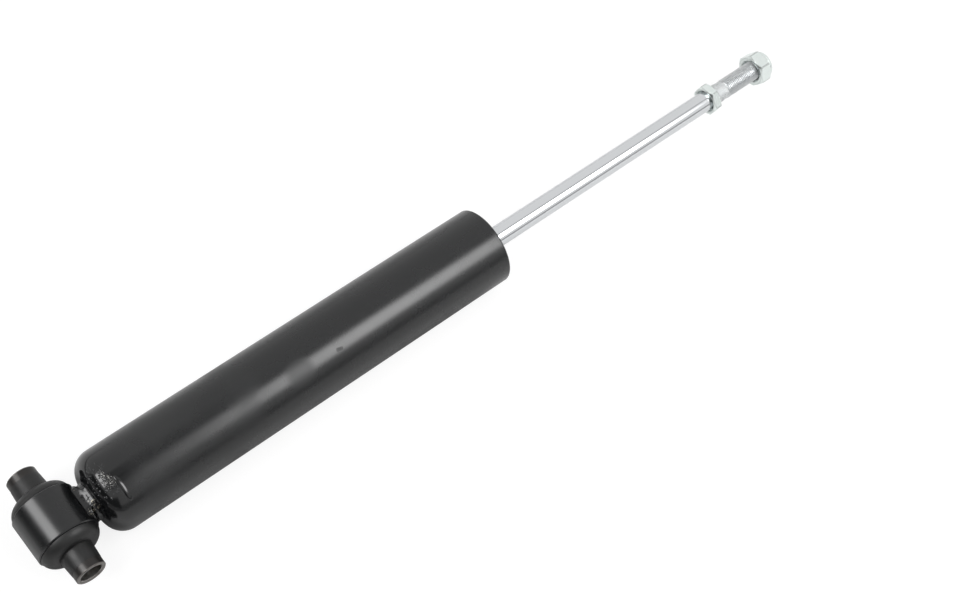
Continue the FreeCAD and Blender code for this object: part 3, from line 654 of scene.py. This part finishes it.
@dataclass
class Rod:
    """The chromed rod with its piston spigot, the plain end under the lower nut and the stud."""

    radius: float = 6.2
    spigot_r: float = 4.0
    core_r: float = 5.6
    stud_r: float = 6.0
    relief_r: float = 5.7
    spigot_x: float = 215.7
    shoulder_x: float = 245.2
    groove: tuple[float, float, float] = (247.85, 249.05, 5.7)
    nut_shoulder_x: float = 458.0
    nut_top_x: float = 463.4
    relief_x: float = 469.2
    thread_x: float = 473.2
    tip_x: float = 510.99
    edge: float = 0.3
    spigot_edge: float = 0.6
    columns: int = 96

    def profile(self) -> list[tuple[float, float]]:
        """Outline of the turned rod up to the start of the stud's thread.

        Returns:
            The outline as (x, r).
        """
        edge = self.edge
        low, high, floor = self.groove
        return [
            (self.spigot_x, 0.0), (self.spigot_x, self.spigot_r - self.spigot_edge),
            (self.spigot_x + self.spigot_edge, self.spigot_r), (self.shoulder_x, self.spigot_r),
            (self.shoulder_x, self.radius - edge), (self.shoulder_x + edge, self.radius),
            (low, self.radius), (low, floor), (high, floor), (high, self.radius),
            (self.nut_shoulder_x - edge, self.radius), (self.nut_shoulder_x, self.radius - edge),
            (self.nut_shoulder_x, self.core_r), (self.nut_top_x, self.core_r),
            (self.nut_top_x, self.stud_r), (self.relief_x - edge, self.stud_r),
            (self.relief_x, self.relief_r), (self.thread_x, self.relief_r),
            (self.thread_x, 0.0)]

    def build(self) -> list[bpy.types.Object]:
        """Build the rod, its plain end and the stud's thread.

        Returns:
            The three pieces.
        """
        profile = self.profile()
        split = next(i for i, (x, _) in enumerate(profile) if x >= self.nut_top_x)
        pieces = []
        for name, part, finish in (("rod_shaft", profile[: split + 1], HARD_CHROME),
                                   ("rod_plain_end", profile[split:], TURNED_END)):
            points = turned_points(part, self.columns)
            pieces.append(new_object(name, points, grid_faces(len(part), self.columns), finish))
        thread = Thread(STUD_PITCH, self.stud_r, self.thread_x, self.tip_x)
        points, rows = thread.surface()
        count = len(points)
        faces: list[Sequence[int]] = list(grid_faces(rows, thread.columns))
        faces.append(list(range(thread.columns)))
        faces.append(list(range(count - thread.columns, count)))
        pieces.append(new_object("stud_thread", points, faces, ROLLED_THREAD, sharp_deg=50.0))
        for piece in pieces:
            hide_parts("piston_rod")
            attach(piece, "rod")
        return pieces


@dataclass
class HexNut:
    """A hexagon nut: chamfered corners, countersunk bore, and for the locking nut a rolled collar."""

    name: str
    node: str
    body: str
    across_flats: float
    start: float
    hex_length: float
    corner_deg: float
    bore_r: float
    countersink_r: float = 7.4
    top_chamfer_r: float = 6.6
    collar: Profile = ()
    thread: Thread | None = None
    corner_radius: float = 0.45
    chamfer_deg: float = 30.0
    face_share: float = 0.95
    edge_reflection_share: float = 0.4
    edge_mm: float = 0.16
    sharp_deg: float = 24.0
    columns: int = 180

    def flat_radius(self, angle: float) -> float:
        """Distance from the axis to the rounded hexagon at an angle.

        Args:
            angle: Angle from +Y in radians.

        Returns:
            The distance in millimetres.
        """
        sector = math.pi / 3
        turned = (angle - math.radians(self.corner_deg)) % sector
        off = abs(turned - sector / 2)
        half = self.across_flats / 2
        flat = half / math.cos(off)
        centre = (half - self.corner_radius) / math.cos(sector / 2)
        bend = sector / 2 - off
        reach = centre * math.cos(bend)
        inside = self.corner_radius ** 2 - (centre * math.sin(bend)) ** 2
        if inside < 0:
            return flat
        return min(flat, reach + math.sqrt(inside))

    def rows(self) -> list[list[Point]]:
        """Lay the nut's surface from the countersink outwards, over the top and back in.

        Returns:
            Rows of points round the nut.
        """
        face_r = self.across_flats / 2 * self.face_share
        slope = math.tan(math.radians(self.chamfer_deg))
        end = self.start + self.hex_length
        top = list(self.collar) if self.collar else [(end, self.top_chamfer_r)]
        sink = self.start + self.countersink_r - self.bore_r
        fixed_low = [(sink, self.bore_r), (self.start, self.countersink_r), (self.start, face_r)]
        last_x, last_r = top[-1]
        lines: list[list[Point]] = []
        for j in range(self.columns):
            a = 2 * math.pi * j / self.columns
            r = self.flat_radius(a)
            drop = max(r - face_r, 0.0) * slope
            line = fixed_low + [(self.start + drop, r), (end - drop, r), (end, face_r)] + top
            line.append((last_x - max(last_r - self.bore_r, 0.0), self.bore_r))
            lines.append([(x, out * math.cos(a), out * math.sin(a)) for x, out in line])
        return [list(row) for row in zip(*lines)]

    def mark_corners(self, mesh: bpy.types.Mesh) -> None:
        """Give the hexagon's rounded corners the darker zinc, a painted reflection.

        Args:
            mesh: The nut before its edges are bevelled.
        """
        corner = self.flat_radius(math.radians(self.corner_deg))
        for polygon in mesh.polygons:
            place = polygon.center / MM
            if math.hypot(place.y, place.z) > corner - self.corner_radius * self.edge_reflection_share:
                polygon.material_index = 1

    def build(self) -> list[bpy.types.Object]:
        """Build the nut and the thread in its bore.

        Returns:
            The nut, and its thread where it has one.
        """
        rows = self.rows()
        points = [p for row in rows for p in row]
        faces = grid_faces(len(rows), self.columns)
        if not self.thread:
            last = (len(rows) - 1) * self.columns
            faces += [(a + last, b + last, b, a)
                      for a, b in ((j, (j + 1) % self.columns) for j in range(self.columns))]
        nut = new_object(self.name, points, faces, BRIGHT_ZINC, self.sharp_deg)
        # Painted reflection: corners and bevels take a darker grey zinc that stands in for the dark
        # lines mirrored there.
        nut.data.materials.append(ZINC_EDGE_DARK_REFLECTION.build())
        self.mark_corners(nut.data)
        bevel = nut.modifiers.new("edges", "BEVEL")
        bevel.width = self.edge_mm * MM
        bevel.segments = 2
        bevel.material = 1
        bevel.limit_method = "ANGLE"
        bevel.angle_limit = math.radians(self.sharp_deg)
        bevel.harden_normals = True
        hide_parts(self.node)
        pieces = [nut]
        if self.thread:
            points, count = self.thread.surface()
            pieces.append(new_object(f"{self.name}_thread", points,
                                     grid_faces(count, self.thread.columns), ROLLED_THREAD, 50.0))
        for piece in pieces:
            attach(piece, self.body)
        return pieces


@dataclass(frozen=True)
class Spray:
    """A cloud of drops on the tube's rounded end.

    The place on the corner runs from 0 on the flat end to 90 on the side, and the place round the
    tube is an angle from +Y. Each is a mean and a spread, in degrees.
    """

    count: int
    on_corner: tuple[float, float]
    round_tube: tuple[float, float]
    radius: tuple[float, float]
    height: tuple[float, float]


@dataclass(frozen=True)
class Run:
    """A thick run of enamel that lies on the tube's end.

    A place is a distance along the tube from where its rounded end begins (less than 0 on the
    rounding) and an angle from +Y. Its crest leans off the middle by a share of the half width.
    """

    start: tuple[float, float]
    end: tuple[float, float]
    half_width: float
    height: float
    sway: float = 0.25
    sway_turn: float = 5.0
    lean: float = 0.3
    fall: float = 1.8


@dataclass
class Weld:
    """The rippled weld between the ring and the tube, the spatter round it and runs of enamel.

    The scales turn millimetres into the units of the noise. drop_rings are shares of a drop's radius.
    """

    node: str = "eye_weld"
    voxel_mm: float = 0.3
    soften_steps: int = 4
    ripple_mm: float = 0.04
    ripple_pitch: float = 2.1
    ripple_bow: float = 0.10
    wander_scale: Point = (0.2, 0.3, 0.2)
    wander_share: float = 0.5
    waist_x: float = 18.0
    lump_mm: float = 0.38
    lump_scales: tuple[float, float] = (0.25, 0.7)
    fine_lump_share: float = 0.14
    rim_mm: float = 1.3
    sunk_mm: float = 0.45
    ring_r: float = 17.0
    tube_r: float = 23.0
    corner: float = 11.5
    tube_start: float = 20.3
    sharp_deg: float = 80.0
    sink_mm: float = 0.02
    corner_limits_deg: tuple[float, float] = (2.0, 89.0)
    drop_rings: tuple[float, ...] = (1.0, 0.82, 0.64, 0.46, 0.26)
    drop_columns: int = 12
    seed: int = 7
    sprays: tuple[Spray, ...] = (
        Spray(420, (80.0, 7.0), (99.0, 8.0), (0.16, 0.50), (0.45, 0.85)),
        Spray(26, (56.0, 5.0), (92.0, 12.0), (0.20, 0.55), (0.30, 0.60)),
        Spray(44, (34.0, 14.0), (97.0, 20.0), (0.25, 0.80), (0.25, 0.55)),
    )
    runs: tuple[Run, ...] = (
        Run((1.0, 100.0), (2.4, 139.0), 1.25, 0.40),
    )

    def bead(self) -> bpy.types.Object:
        """Remesh the plain neck finely and raise ripples and lumps on it.

        Returns:
            The bead.
        """
        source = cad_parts[self.node].data.copy()
        made = link_object("weld_bead", source)
        weld = bmesh.new()
        weld.from_mesh(source)
        bmesh.ops.remove_doubles(weld, verts=weld.verts, dist=MERGE_M)
        weld.to_mesh(source)
        weld.free()
        remesh = made.modifiers.new("fine", "REMESH")
        remesh.mode = "VOXEL"
        remesh.voxel_size = self.voxel_mm * MM
        soften = made.modifiers.new("soften", "SMOOTH")
        soften.iterations = self.soften_steps
        graph = bpy.context.evaluated_depsgraph_get()
        fine = bpy.data.meshes.new_from_object(made.evaluated_get(graph))
        made.modifiers.clear()
        made.data = fine
        self.raise_ripples(fine)
        for polygon in fine.polygons:
            polygon.use_smooth = True
        fine.materials.clear()
        fine.materials.append(WELD_ENAMEL.build())
        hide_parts(self.node)
        return made

    def raise_ripples(self, mesh: bpy.types.Mesh) -> None:
        """Move the bead's points: crescents left by each pass, soft lumps, and rims that sink in.

        Args:
            mesh: The finely meshed neck.
        """
        coarse, fine = self.lump_scales
        moved = []
        for vertex in mesh.vertices:
            p = vertex.co / MM
            bow = self.ripple_bow * (p.x - self.waist_x) ** 2
            spot = Vector([c * scale for c, scale in zip(p, self.wander_scale)])
            wander = noise.noise(spot) * self.ripple_pitch * self.wander_share
            turns = (p.y + math.copysign(bow, p.z) + wander) / self.ripple_pitch
            crest = 1 - 2 * abs(math.sin(math.pi * turns))
            lump = noise.noise(p * coarse) + self.fine_lump_share * noise.noise(p * fine)
            out = Vector((p.x, 0.0, p.z))
            to_ring = min(max((out.length - self.ring_r) / self.rim_mm, 0.0), 1.0)
            to_tube = min(max((self.tube_start - p.x) / self.rim_mm, 0.0), 1.0)
            height = (self.ripple_mm * crest + self.lump_mm * lump) * to_ring * to_tube
            p += vertex.normal * height - out.normalized() * (1 - to_ring) * self.sunk_mm
            p.x += (1 - to_tube) * self.sunk_mm
            moved.append(p * MM)
        for vertex, place in zip(mesh.vertices, moved):
            vertex.co = place

    def shoulder_point(self, along: float, angle: float) -> tuple[Vector, Vector]:
        """A point on the tube's rounded end and its normal.

        Args:
            along: Angle round the corner, from 0 on the flat end to a right angle on the side.
            angle: Angle about X from +Y.

        Returns:
            The point in millimetres and the unit normal.
        """
        side = Vector((0.0, math.cos(angle), math.sin(angle)))
        normal = side * math.sin(along) - Vector((math.cos(along), 0.0, 0.0))
        centre = Vector((self.tube_start + self.corner, 0.0, 0.0))
        return centre + side * (self.tube_r - self.corner) + normal * self.corner, normal

    def spatter(self) -> bpy.types.Object:
        """Scatter small drops of weld metal, frozen on the tube's end under the enamel.

        Returns:
            All the drops as one piece.
        """
        rng = random.Random(self.seed)
        least, most = self.corner_limits_deg
        points: list[Point] = []
        faces: list[Sequence[int]] = []
        for spray in self.sprays:
            for _ in range(spray.count):
                along = math.radians(min(max(rng.gauss(*spray.on_corner), least), most))
                angle = math.radians(rng.gauss(*spray.round_tube))
                place, normal = self.shoulder_point(along, angle)
                radius = rng.uniform(*spray.radius)
                height = radius * rng.uniform(*spray.height)
                if place.z + height < self.tube_r:
                    self.drop(points, faces, place, normal, radius, height)
        return new_object("weld_spatter", points, faces, SPATTER_ENAMEL, self.sharp_deg)

    def drop(self, points: list[Point], faces: list[Sequence[int]], place: Vector, normal: Vector,
             radius: float, height: float) -> None:
        """Add one bell-shaped drop that runs out flat on the tube.

        Args:
            points: Points so far.
            faces: Faces so far.
            place: Where the drop lies.
            normal: Which way it stands.
            radius: Its radius.
            height: How far it stands up.
        """
        start = len(points)
        turn = normal.to_track_quat("Z", "Y")
        columns = self.drop_columns
        sunk = self.sink_mm + radius ** 2 / (2 * self.corner)
        for share in self.drop_rings:
            lift = height * (1 - share ** 2) ** 2 - sunk * share ** 2
            for j in range(columns):
                a = 2 * math.pi * j / columns
                local = Vector((math.cos(a) * share * radius, math.sin(a) * share * radius, lift))
                points.append(tuple(place + turn @ local))
        points.append(tuple(place + normal * height))
        faces += grid_faces(len(self.drop_rings), columns, start)
        last = start + (len(self.drop_rings) - 1) * columns
        faces += [(last + j, last + (j + 1) % columns, len(points) - 1) for j in range(columns)]

    def enamel_run(self) -> bpy.types.Object:
        """Lay the thick runs of enamel on the tube's end.

        Returns:
            All the runs as one piece.
        """
        points: list[Point] = []
        faces: list[Sequence[int]] = []
        for run in self.runs:
            self.one_run(run, points, faces)
        return new_object("enamel_run", points, faces, RUN_ENAMEL, self.sharp_deg)

    def one_run(self, run: Run, points: list[Point], faces: list[Sequence[int]],
                along: int = 28, across: int = 14) -> None:
        """Add one run, thickest in the middle and running out flat all round.

        Args:
            run: Its place and size.
            points: Points so far.
            faces: Faces so far.
            along: Steps along it.
            across: Steps across it.
        """
        first = len(points)
        for i in range(along + 1):
            share = i / along
            swell = math.sqrt(max(1 - (2 * share - 1) ** 4, 0.0))
            middle = (run.start[0] + (run.end[0] - run.start[0]) * share +
                      run.sway * math.sin(run.sway_turn * share))
            angle = math.radians(run.start[1] + (run.end[1] - run.start[1]) * share)
            for j in range(across + 1):
                spread = 2 * j / across - 1
                reach = middle + run.half_width * swell * spread
                on_corner = math.pi / 2 + min(reach, 0.0) / self.corner
                place, normal = self.shoulder_point(on_corner, angle)
                place.x += max(reach, 0.0)
                crest = (spread + run.lean) / (1 + run.lean if spread > -run.lean else 1 - run.lean)
                lift = run.height * swell * (1 - abs(crest) ** run.fall) - self.sink_mm
                points.append(tuple(place + normal * lift))
        row = across + 1
        faces += [(first + i * row + j, first + i * row + j + 1,
                   first + (i + 1) * row + j + 1, first + (i + 1) * row + j)
                  for i in range(along) for j in range(across)]

    def build(self) -> list[bpy.types.Object]:
        """Build the bead, the spatter and the run of enamel.

        Returns:
            The three pieces.
        """
        pieces = [self.bead(), self.spatter(), self.enamel_run()]
        for piece in pieces:
            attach(piece, "barrel")
        return pieces


@dataclass(frozen=True)
class ValveSpring:
    """A valve's spring, which shortens as its plate lifts."""

    node: str
    body: str
    joint: str
    seat_x: float
    free_length: float
    lift: float = 0.9

    def build(self) -> list[bpy.types.Object]:
        """Copy the spring's solid and dress it.

        Returns:
            The one piece.
        """
        made = link_object(f"{self.node}_coil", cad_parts[self.node].data.copy())
        made.data.materials.clear()
        made.data.materials.append(SPRING_STEEL.build())
        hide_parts(self.node)
        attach(made, self.body)
        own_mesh(made)
        return [made]


def valve_springs() -> list[ValveSpring]:
    """List the springs of the piston's two valves and of the base valve.

    Returns:
        The three springs.
    """
    return [
        ValveSpring("check_spring", "rod", "check_lift", 244.0, 1.8),
        ValveSpring("rebound_spring", "rod", "rebound_lift", 221.7, 6.98),
        ValveSpring("base_intake_spring", "barrel", "intake_lift", 37.8, 1.8),
    ]


@dataclass
class Assembly:
    """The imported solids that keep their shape, with the finish that each one has."""

    finishes: dict[str, Finish] = field(default_factory=lambda: {
        "eye_ring": BLACK_ENAMEL, "rubber_bush": MOULDED_RUBBER, "inner_sleeve": SLEEVE_TUBE,
        "pressure_tube": DRAWN_STEEL, "base_valve_body": SINTERED_IRON,
        "base_valve_bolt": TURNED_STEEL, "base_valve_washer": TURNED_STEEL,
        "base_valve_nut": TURNED_STEEL, "base_shims": SPRING_STEEL,
        "base_intake_plate": SPRING_STEEL,
        "rod_guide": SINTERED_IRON, "guide_bushing": LINER, "guide_o_ring": MOULDED_RUBBER,
        "rod_seal": MOULDED_RUBBER, "garter_spring": SPRING_STEEL, "seal_plate": TURNED_STEEL,
        "end_washer": PHOSPHATED, "rebound_bumper": MOULDED_RUBBER, "rebound_collar": TURNED_STEEL,
        "piston_washer": TURNED_STEEL, "check_plate": SPRING_STEEL,
        "piston": SINTERED_IRON, "piston_band": FILLED_PTFE, "rebound_shims": SPRING_STEEL,
        "rebound_disc": TURNED_STEEL, "piston_nut": TURNED_STEEL,
        "nylon_insert": NYLON})

    def dress(self) -> int:
        """Give each solid its material.

        Returns:
            How many solids were dressed.
        """
        for name, finish in self.finishes.items():
            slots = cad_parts[name].data.materials
            slots.clear()
            slots.append(finish.build())
        return len(self.finishes)


@dataclass(frozen=True)
class Panel:
    """A studio panel that gives light, or shows in reflections, or both."""

    name: str
    centre: Point
    right: Point
    up: Point
    size: tuple[float, float]
    glow: float
    watts: float = 0.0
    soft_edge: float = 0.18

    def matrix(self) -> Matrix:
        """Place and direction of the panel, its own Z towards the object.

        Returns:
            The matrix that the card and the lamp take.
        """
        x = Vector(self.right).normalized()
        y = Vector(self.up)
        y = (y - x * y.dot(x)).normalized()
        z = x.cross(y)
        if z.dot(-Vector(self.centre)) < 0:
            x, z = -x, -z
        turn = Matrix((x, y, z)).transposed().to_4x4()
        turn.translation = Vector(self.centre)
        return turn

    def card(self) -> bpy.types.Object:
        """Make a card that only reflections see, brighter in the middle than at its rim.

        Returns:
            The card.
        """
        w, h = self.size[0] / 2, self.size[1] / 2
        mesh = bpy.data.meshes.new(self.name)
        mesh.from_pydata([(-w, -h, 0), (w, -h, 0), (w, h, 0), (-w, h, 0)], [], [(0, 1, 2, 3)])
        mesh.uv_layers.new(name="UVMap")
        for loop, uv in zip(mesh.uv_layers[0].data, ((0, 0), (1, 0), (1, 1), (0, 1))):
            loop.uv = uv
        mesh.materials.append(self.glow_material())
        made = link_object(self.name, mesh)
        made.matrix_world = self.matrix()
        made.visible_camera = made.visible_diffuse = made.visible_shadow = False
        return made

    def glow_material(self) -> bpy.types.Material:
        """Make the card's light, which falls off towards its rim.

        Returns:
            The material.
        """
        made = bpy.data.materials.new(f"studio_{self.name}")
        made.use_nodes = True
        tree = made.node_tree
        tree.nodes.clear()
        place = add_node(tree, "ShaderNodeTexCoord").outputs["UV"]
        split = add_node(tree, "ShaderNodeSeparateXYZ", {}, {"Vector": place})
        sides = []
        for axis in ("X", "Y"):
            mirrored = add_node(tree, "ShaderNodeMath", {"operation": "PINGPONG"},
                                {0: split.outputs[axis], 1: 0.5}).outputs[0]
            sides.append(add_node(tree, "ShaderNodeMapRange", {"interpolation_type": "SMOOTHSTEP"}, {
                "Value": mirrored, "From Min": 0.0, "From Max": self.soft_edge,
                "To Min": 0.0, "To Max": 1.0}).outputs["Result"])
        both = add_node(tree, "ShaderNodeMath", {"operation": "MULTIPLY"},
                        {0: sides[0], 1: sides[1]}).outputs[0]
        strength = add_node(tree, "ShaderNodeMath", {"operation": "MULTIPLY"},
                            {0: both, 1: self.glow}).outputs[0]
        light = add_node(tree, "ShaderNodeEmission", {}, {
            "Color": linear("#ffffff"), "Strength": strength})
        clear = add_node(tree, "ShaderNodeBsdfTransparent")
        mixed = add_node(tree, "ShaderNodeMixShader", {}, {
            0: both, 1: clear.outputs[0], 2: light.outputs[0]})
        add_node(tree, "ShaderNodeOutputMaterial", {}, {"Surface": mixed.outputs[0]})
        return made

    def lamp(self) -> None:
        """Add the light that the panel throws on the object, with no reflection of its own."""
        data = bpy.data.lights.new(f"lamp_{self.name}", "AREA")
        data.shape = "RECTANGLE"
        data.size, data.size_y = self.size
        data.energy = self.watts
        made = link_object(f"lamp_{self.name}", data)
        made.matrix_world = self.matrix() @ Matrix.Rotation(math.pi, 4, "X")
        made.visible_glossy = made.visible_camera = False

    def build(self) -> None:
        """Add the card and the lamp."""
        if self.glow:
            self.card()
        if self.watts:
            self.lamp()


@dataclass
class Studio:
    """White table, white surroundings, two soft boxes and the camera.

    Mirrors see painted shade on the table under the tube and at the far left: the table is set darker
    there by position, not by a cast shadow. These ramps run along X and Y from the table's middle,
    which lies at table_middle_mm along X, and each is where it starts and where it ends. near_far_m is
    the ramp between the two glows that the camera sees.
    """

    floor_z: float = -23.0
    floor_size: float = 9.0
    floor_glow: float = 0.82
    far_glow: float = 0.93
    near_far_m: tuple[float, float] = (0.55, 1.3)
    mirrored_glow: float = 0.10
    table_middle_mm: float = 250.0
    beside_tube_mm: tuple[float, float] = (12.0, 55.0)
    past_tube_mm: tuple[float, float] = (0.0, 40.0)
    left_of_eye_mm: tuple[float, float] = (-262.0, -290.0)
    far_left_mm: tuple[float, float] = (-470.0, -370.0)
    seen_matt: str = "#8a8a8a"
    painted_shade_matt: str = "#a8a8a8"
    open_matt: str = "#f2f2f2"
    surround_diffuse: float = 0.35
    camera_mm: Point = (-95.43, -295.56, 739.69)
    camera_right: Point = (0.75925, -0.63847, 0.12607)
    camera_up: Point = (0.50782, 0.70238, 0.49878)
    lens_mm: float = 58.187
    sensor_mm: float = 36.0
    clip_m: tuple[float, float] = (0.01, 50.0)

    def panels(self) -> list[Panel]:
        """List the soft boxes and the dark parts of the room, placed by what the object mirrors.

        Returns:
            The panels, sizes and places in metres.
        """
        return [
            Panel("softbox_right", (0.765, -0.617, 0.898), (1, 0, 0), (0, 0.824, 0.566),
                  (1.05, 0.90), glow=9.0, watts=9.5, soft_edge=0.26),
            Panel("softbox_left", (-0.62, 0.295, 0.92), (0, 1, 0), (0.80, 0, 0.58),
                  (1.00, 0.85), glow=8.2, watts=8.0),
            Panel("dark_room_near", (0.3, -1.6, 0.23), (1, 0, 0), (0, 0, 1), (4.0, 0.46), 0.45),
            Panel("dark_room_left", (-1.6, 0.0, 0.48), (0, 1, 0), (0, 0, 1), (3.2, 1.04), 0.10),
            Panel("dark_corner", (-1.22, -1.36, 0.62), (1, 0, 0), (0, 0, 1), (1.5, 1.28), 0.10),
            Panel("dim_ceiling", (-0.2, -0.2, 1.75), (1, 0, 0), (0, 1, 0), (1.6, 1.5), 0.5),
            Panel("dark_gap", (0.7, -0.14, 1.09), (1, 0, 0), (0, 1, 0), (1.6, 0.12), 0.3),
        ]

    def floor(self) -> bpy.types.Object:
        """Make the table that the camera sees as white, with the object's shadow left on it.

        Returns:
            The table.
        """
        half = self.floor_size / 2
        mesh = bpy.data.meshes.new("table")
        mesh.from_pydata([(-half, -half, 0), (half, -half, 0), (half, half, 0), (-half, half, 0)],
                         [], [(0, 1, 2, 3)])
        made = link_object("table", mesh)
        made.location = (self.table_middle_mm * MM, 0.0, self.floor_z * MM)
        material = bpy.data.materials.new("studio_table")
        material.use_nodes = True
        tree = material.node_tree
        tree.nodes.clear()
        path = add_node(tree, "ShaderNodeLightPath")
        mirrored = add_node(tree, "ShaderNodeMath", {"operation": "MAXIMUM"}, {
            0: path.outputs["Is Glossy Ray"], 1: path.outputs["Is Transmission Ray"]}).outputs[0]
        place = add_node(tree, "ShaderNodeTexCoord").outputs["Object"]
        away = add_node(tree, "ShaderNodeVectorMath", {"operation": "LENGTH"}, {0: place})
        glow = add_node(tree, "ShaderNodeMapRange", {"interpolation_type": "SMOOTHSTEP"}, {
            "Value": away.outputs["Value"], "From Min": self.near_far_m[0],
            "From Max": self.near_far_m[1], "To Min": self.floor_glow, "To Max": self.far_glow})
        plain = self.table_look(tree, path.outputs["Is Camera Ray"], glow.outputs["Result"],
                                self.seen_matt)
        # Painted shade: mirrors see this darker table under the tube and at the far left, set by
        # position.
        shaded = self.table_look(tree, mirrored, 0.0, self.painted_shade_matt)
        bright = self.table_look(tree, mirrored, self.mirrored_glow, self.open_matt)
        near = add_node(tree, "ShaderNodeMixShader", {}, {
            0: self.table_clear(tree, place), 1: shaded, 2: bright})
        look = add_node(tree, "ShaderNodeMixShader", {}, {0: mirrored, 1: plain, 2: near.outputs[0]})
        add_node(tree, "ShaderNodeOutputMaterial", {}, {"Surface": look.outputs[0]})
        made.data.materials.append(material)
        return made

    def table_clear(self, tree: bpy.types.NodeTree,
                    place: bpy.types.NodeSocket) -> bpy.types.NodeSocket:
        """How far a point of the table lies out of the painted shade under the tube and beyond the
        eye.

        Args:
            tree: Node tree of the table.
            place: Position on the table.

        Returns:
            0 in the painted shade and 1 on the open table, for mirrors only.
        """
        axes = add_node(tree, "ShaderNodeSeparateXYZ", {}, {"Vector": place})
        aside = add_node(tree, "ShaderNodeMath", {"operation": "ABSOLUTE"}, {0: axes.outputs["Y"]})
        ramps = [add_node(tree, "ShaderNodeMapRange", {"interpolation_type": "SMOOTHSTEP"}, {
            "Value": value, "From Min": low * MM, "From Max": high * MM}).outputs["Result"]
            for value, (low, high) in ((aside.outputs[0], self.beside_tube_mm),
                                       (axes.outputs["X"], self.past_tube_mm),
                                       (axes.outputs["X"], self.left_of_eye_mm),
                                       (axes.outputs["X"], self.far_left_mm))]
        open_side = ramps[0]
        for ramp in ramps[1:3]:
            open_side = add_node(tree, "ShaderNodeMath", {"operation": "MAXIMUM"}, {
                0: open_side, 1: ramp}).outputs[0]
        return add_node(tree, "ShaderNodeMath", {"operation": "MULTIPLY"}, {
            0: open_side, 1: ramps[3]}).outputs[0]

    def table_look(self, tree: bpy.types.NodeTree, seen: bpy.types.NodeSocket,
                   glow: float | bpy.types.NodeSocket, matt: str) -> bpy.types.NodeSocket:
        """A matt surface with some glow of its own for the rays that see it.

        Args:
            tree: Node tree of the table.
            seen: 1 for the rays that get the glow.
            glow: Strength of the glow.
            matt: Colour of the matt part, which takes the shadow.

        Returns:
            The shader's output.
        """
        strength = add_node(tree, "ShaderNodeMath", {"operation": "MULTIPLY"}, {0: seen, 1: glow})
        light = add_node(tree, "ShaderNodeEmission", {}, {
            "Color": linear("#ffffff"), "Strength": strength.outputs[0]})
        paper = add_node(tree, "ShaderNodeBsdfDiffuse", {}, {"Color": linear(matt)})
        return add_node(tree, "ShaderNodeAddShader", {}, {
            0: light.outputs[0], 1: paper.outputs[0]}).outputs[0]

    def surround(self) -> None:
        """Make the room white: full white to camera and mirrors, dimmer as light."""
        world = bpy.data.worlds.new("studio_room")
        bpy.context.scene.world = world
        world.use_nodes = True
        tree = world.node_tree
        tree.nodes.clear()
        path = add_node(tree, "ShaderNodeLightPath")
        strength = add_node(tree, "ShaderNodeMapRange", {}, {
            "Value": path.outputs["Is Diffuse Ray"], "From Min": 0.0, "From Max": 1.0,
            "To Min": 1.0, "To Max": self.surround_diffuse}).outputs["Result"]
        back = add_node(tree, "ShaderNodeBackground", {}, {
            "Color": linear("#ffffff"), "Strength": strength})
        add_node(tree, "ShaderNodeOutputWorld", {}, {"Surface": back.outputs[0]})

    def camera(self) -> bpy.types.Object:
        """Place the photograph's camera, as fitted to the object's outlines.

        Returns:
            The camera.
        """
        data = bpy.data.cameras.new("camera")
        data.lens = self.lens_mm
        data.sensor_width = self.sensor_mm
        data.clip_start, data.clip_end = self.clip_m
        made = link_object("camera", data)
        right, up = Vector(self.camera_right), Vector(self.camera_up)
        turn = Matrix((right, up, right.cross(up))).transposed().to_4x4()
        turn.translation = Vector(self.camera_mm) * MM
        made.matrix_world = turn
        bpy.context.scene.camera = made
        return made

    def build(self) -> None:
        """Set up table, room, panels, camera and view."""
        self.floor()
        self.surround()
        for panel in self.panels():
            panel.build()
        self.camera()
        bpy.context.scene.view_settings.view_transform = "Standard"


def nuts() -> list[HexNut]:
    """List the two nuts on the stud.

    Returns:
        The thin nut and the locking nut.
    """
    end, round_r, collar_r, hex_end, steps = 510.2, 2.0, 8.7, 506.8, 6
    mouth_r, lip_x, seat_r, seat_x = 6.05, 509.5, 7.56, 507.5
    collar = [(hex_end, collar_r), (end - round_r, collar_r)]
    collar += [(end - round_r + round_r * math.sin(t), collar_r - round_r + round_r * math.cos(t))
               for t in (math.pi / 2 * i / steps for i in range(1, steps + 1))]
    collar += [(end, mouth_r), (lip_x, mouth_r), (lip_x, seat_r), (seat_x, seat_r)]
    thread = Thread(STUD_PITCH, major_r=6.04, start=499.5, end=507.4, chamfer=0.7, inside=True)
    return [
        HexNut("lower_hex_nut", "lower_nut", "rod", across_flats=17.0, start=457.4, hex_length=6.0,
               corner_deg=107.0, bore_r=5.62),
        HexNut("locking_hex_nut", "top_nut", "locknut", across_flats=19.0, start=498.2, hex_length=8.6,
               corner_deg=122.8, bore_r=6.04, collar=collar, thread=thread),
    ]


def main() -> None:
    """Build all the pieces in order and report them."""
    LOG.info("dressed %d solids", Assembly().dress())
    makers: list[Callable[[], list[bpy.types.Object]]] = [ReserveTube().build, Rod().build]
    makers += [nut.build for nut in nuts()]
    makers += [spring.build for spring in valve_springs()]
    makers.append(Weld().build)
    for make in makers:
        for piece in make():
            LOG.info("%s: %d faces", piece.name, len(piece.data.polygons))
    Studio().build()


if __name__ == "__main__":
    logging.basicConfig(level=logging.INFO, format="%(message)s")
    main()
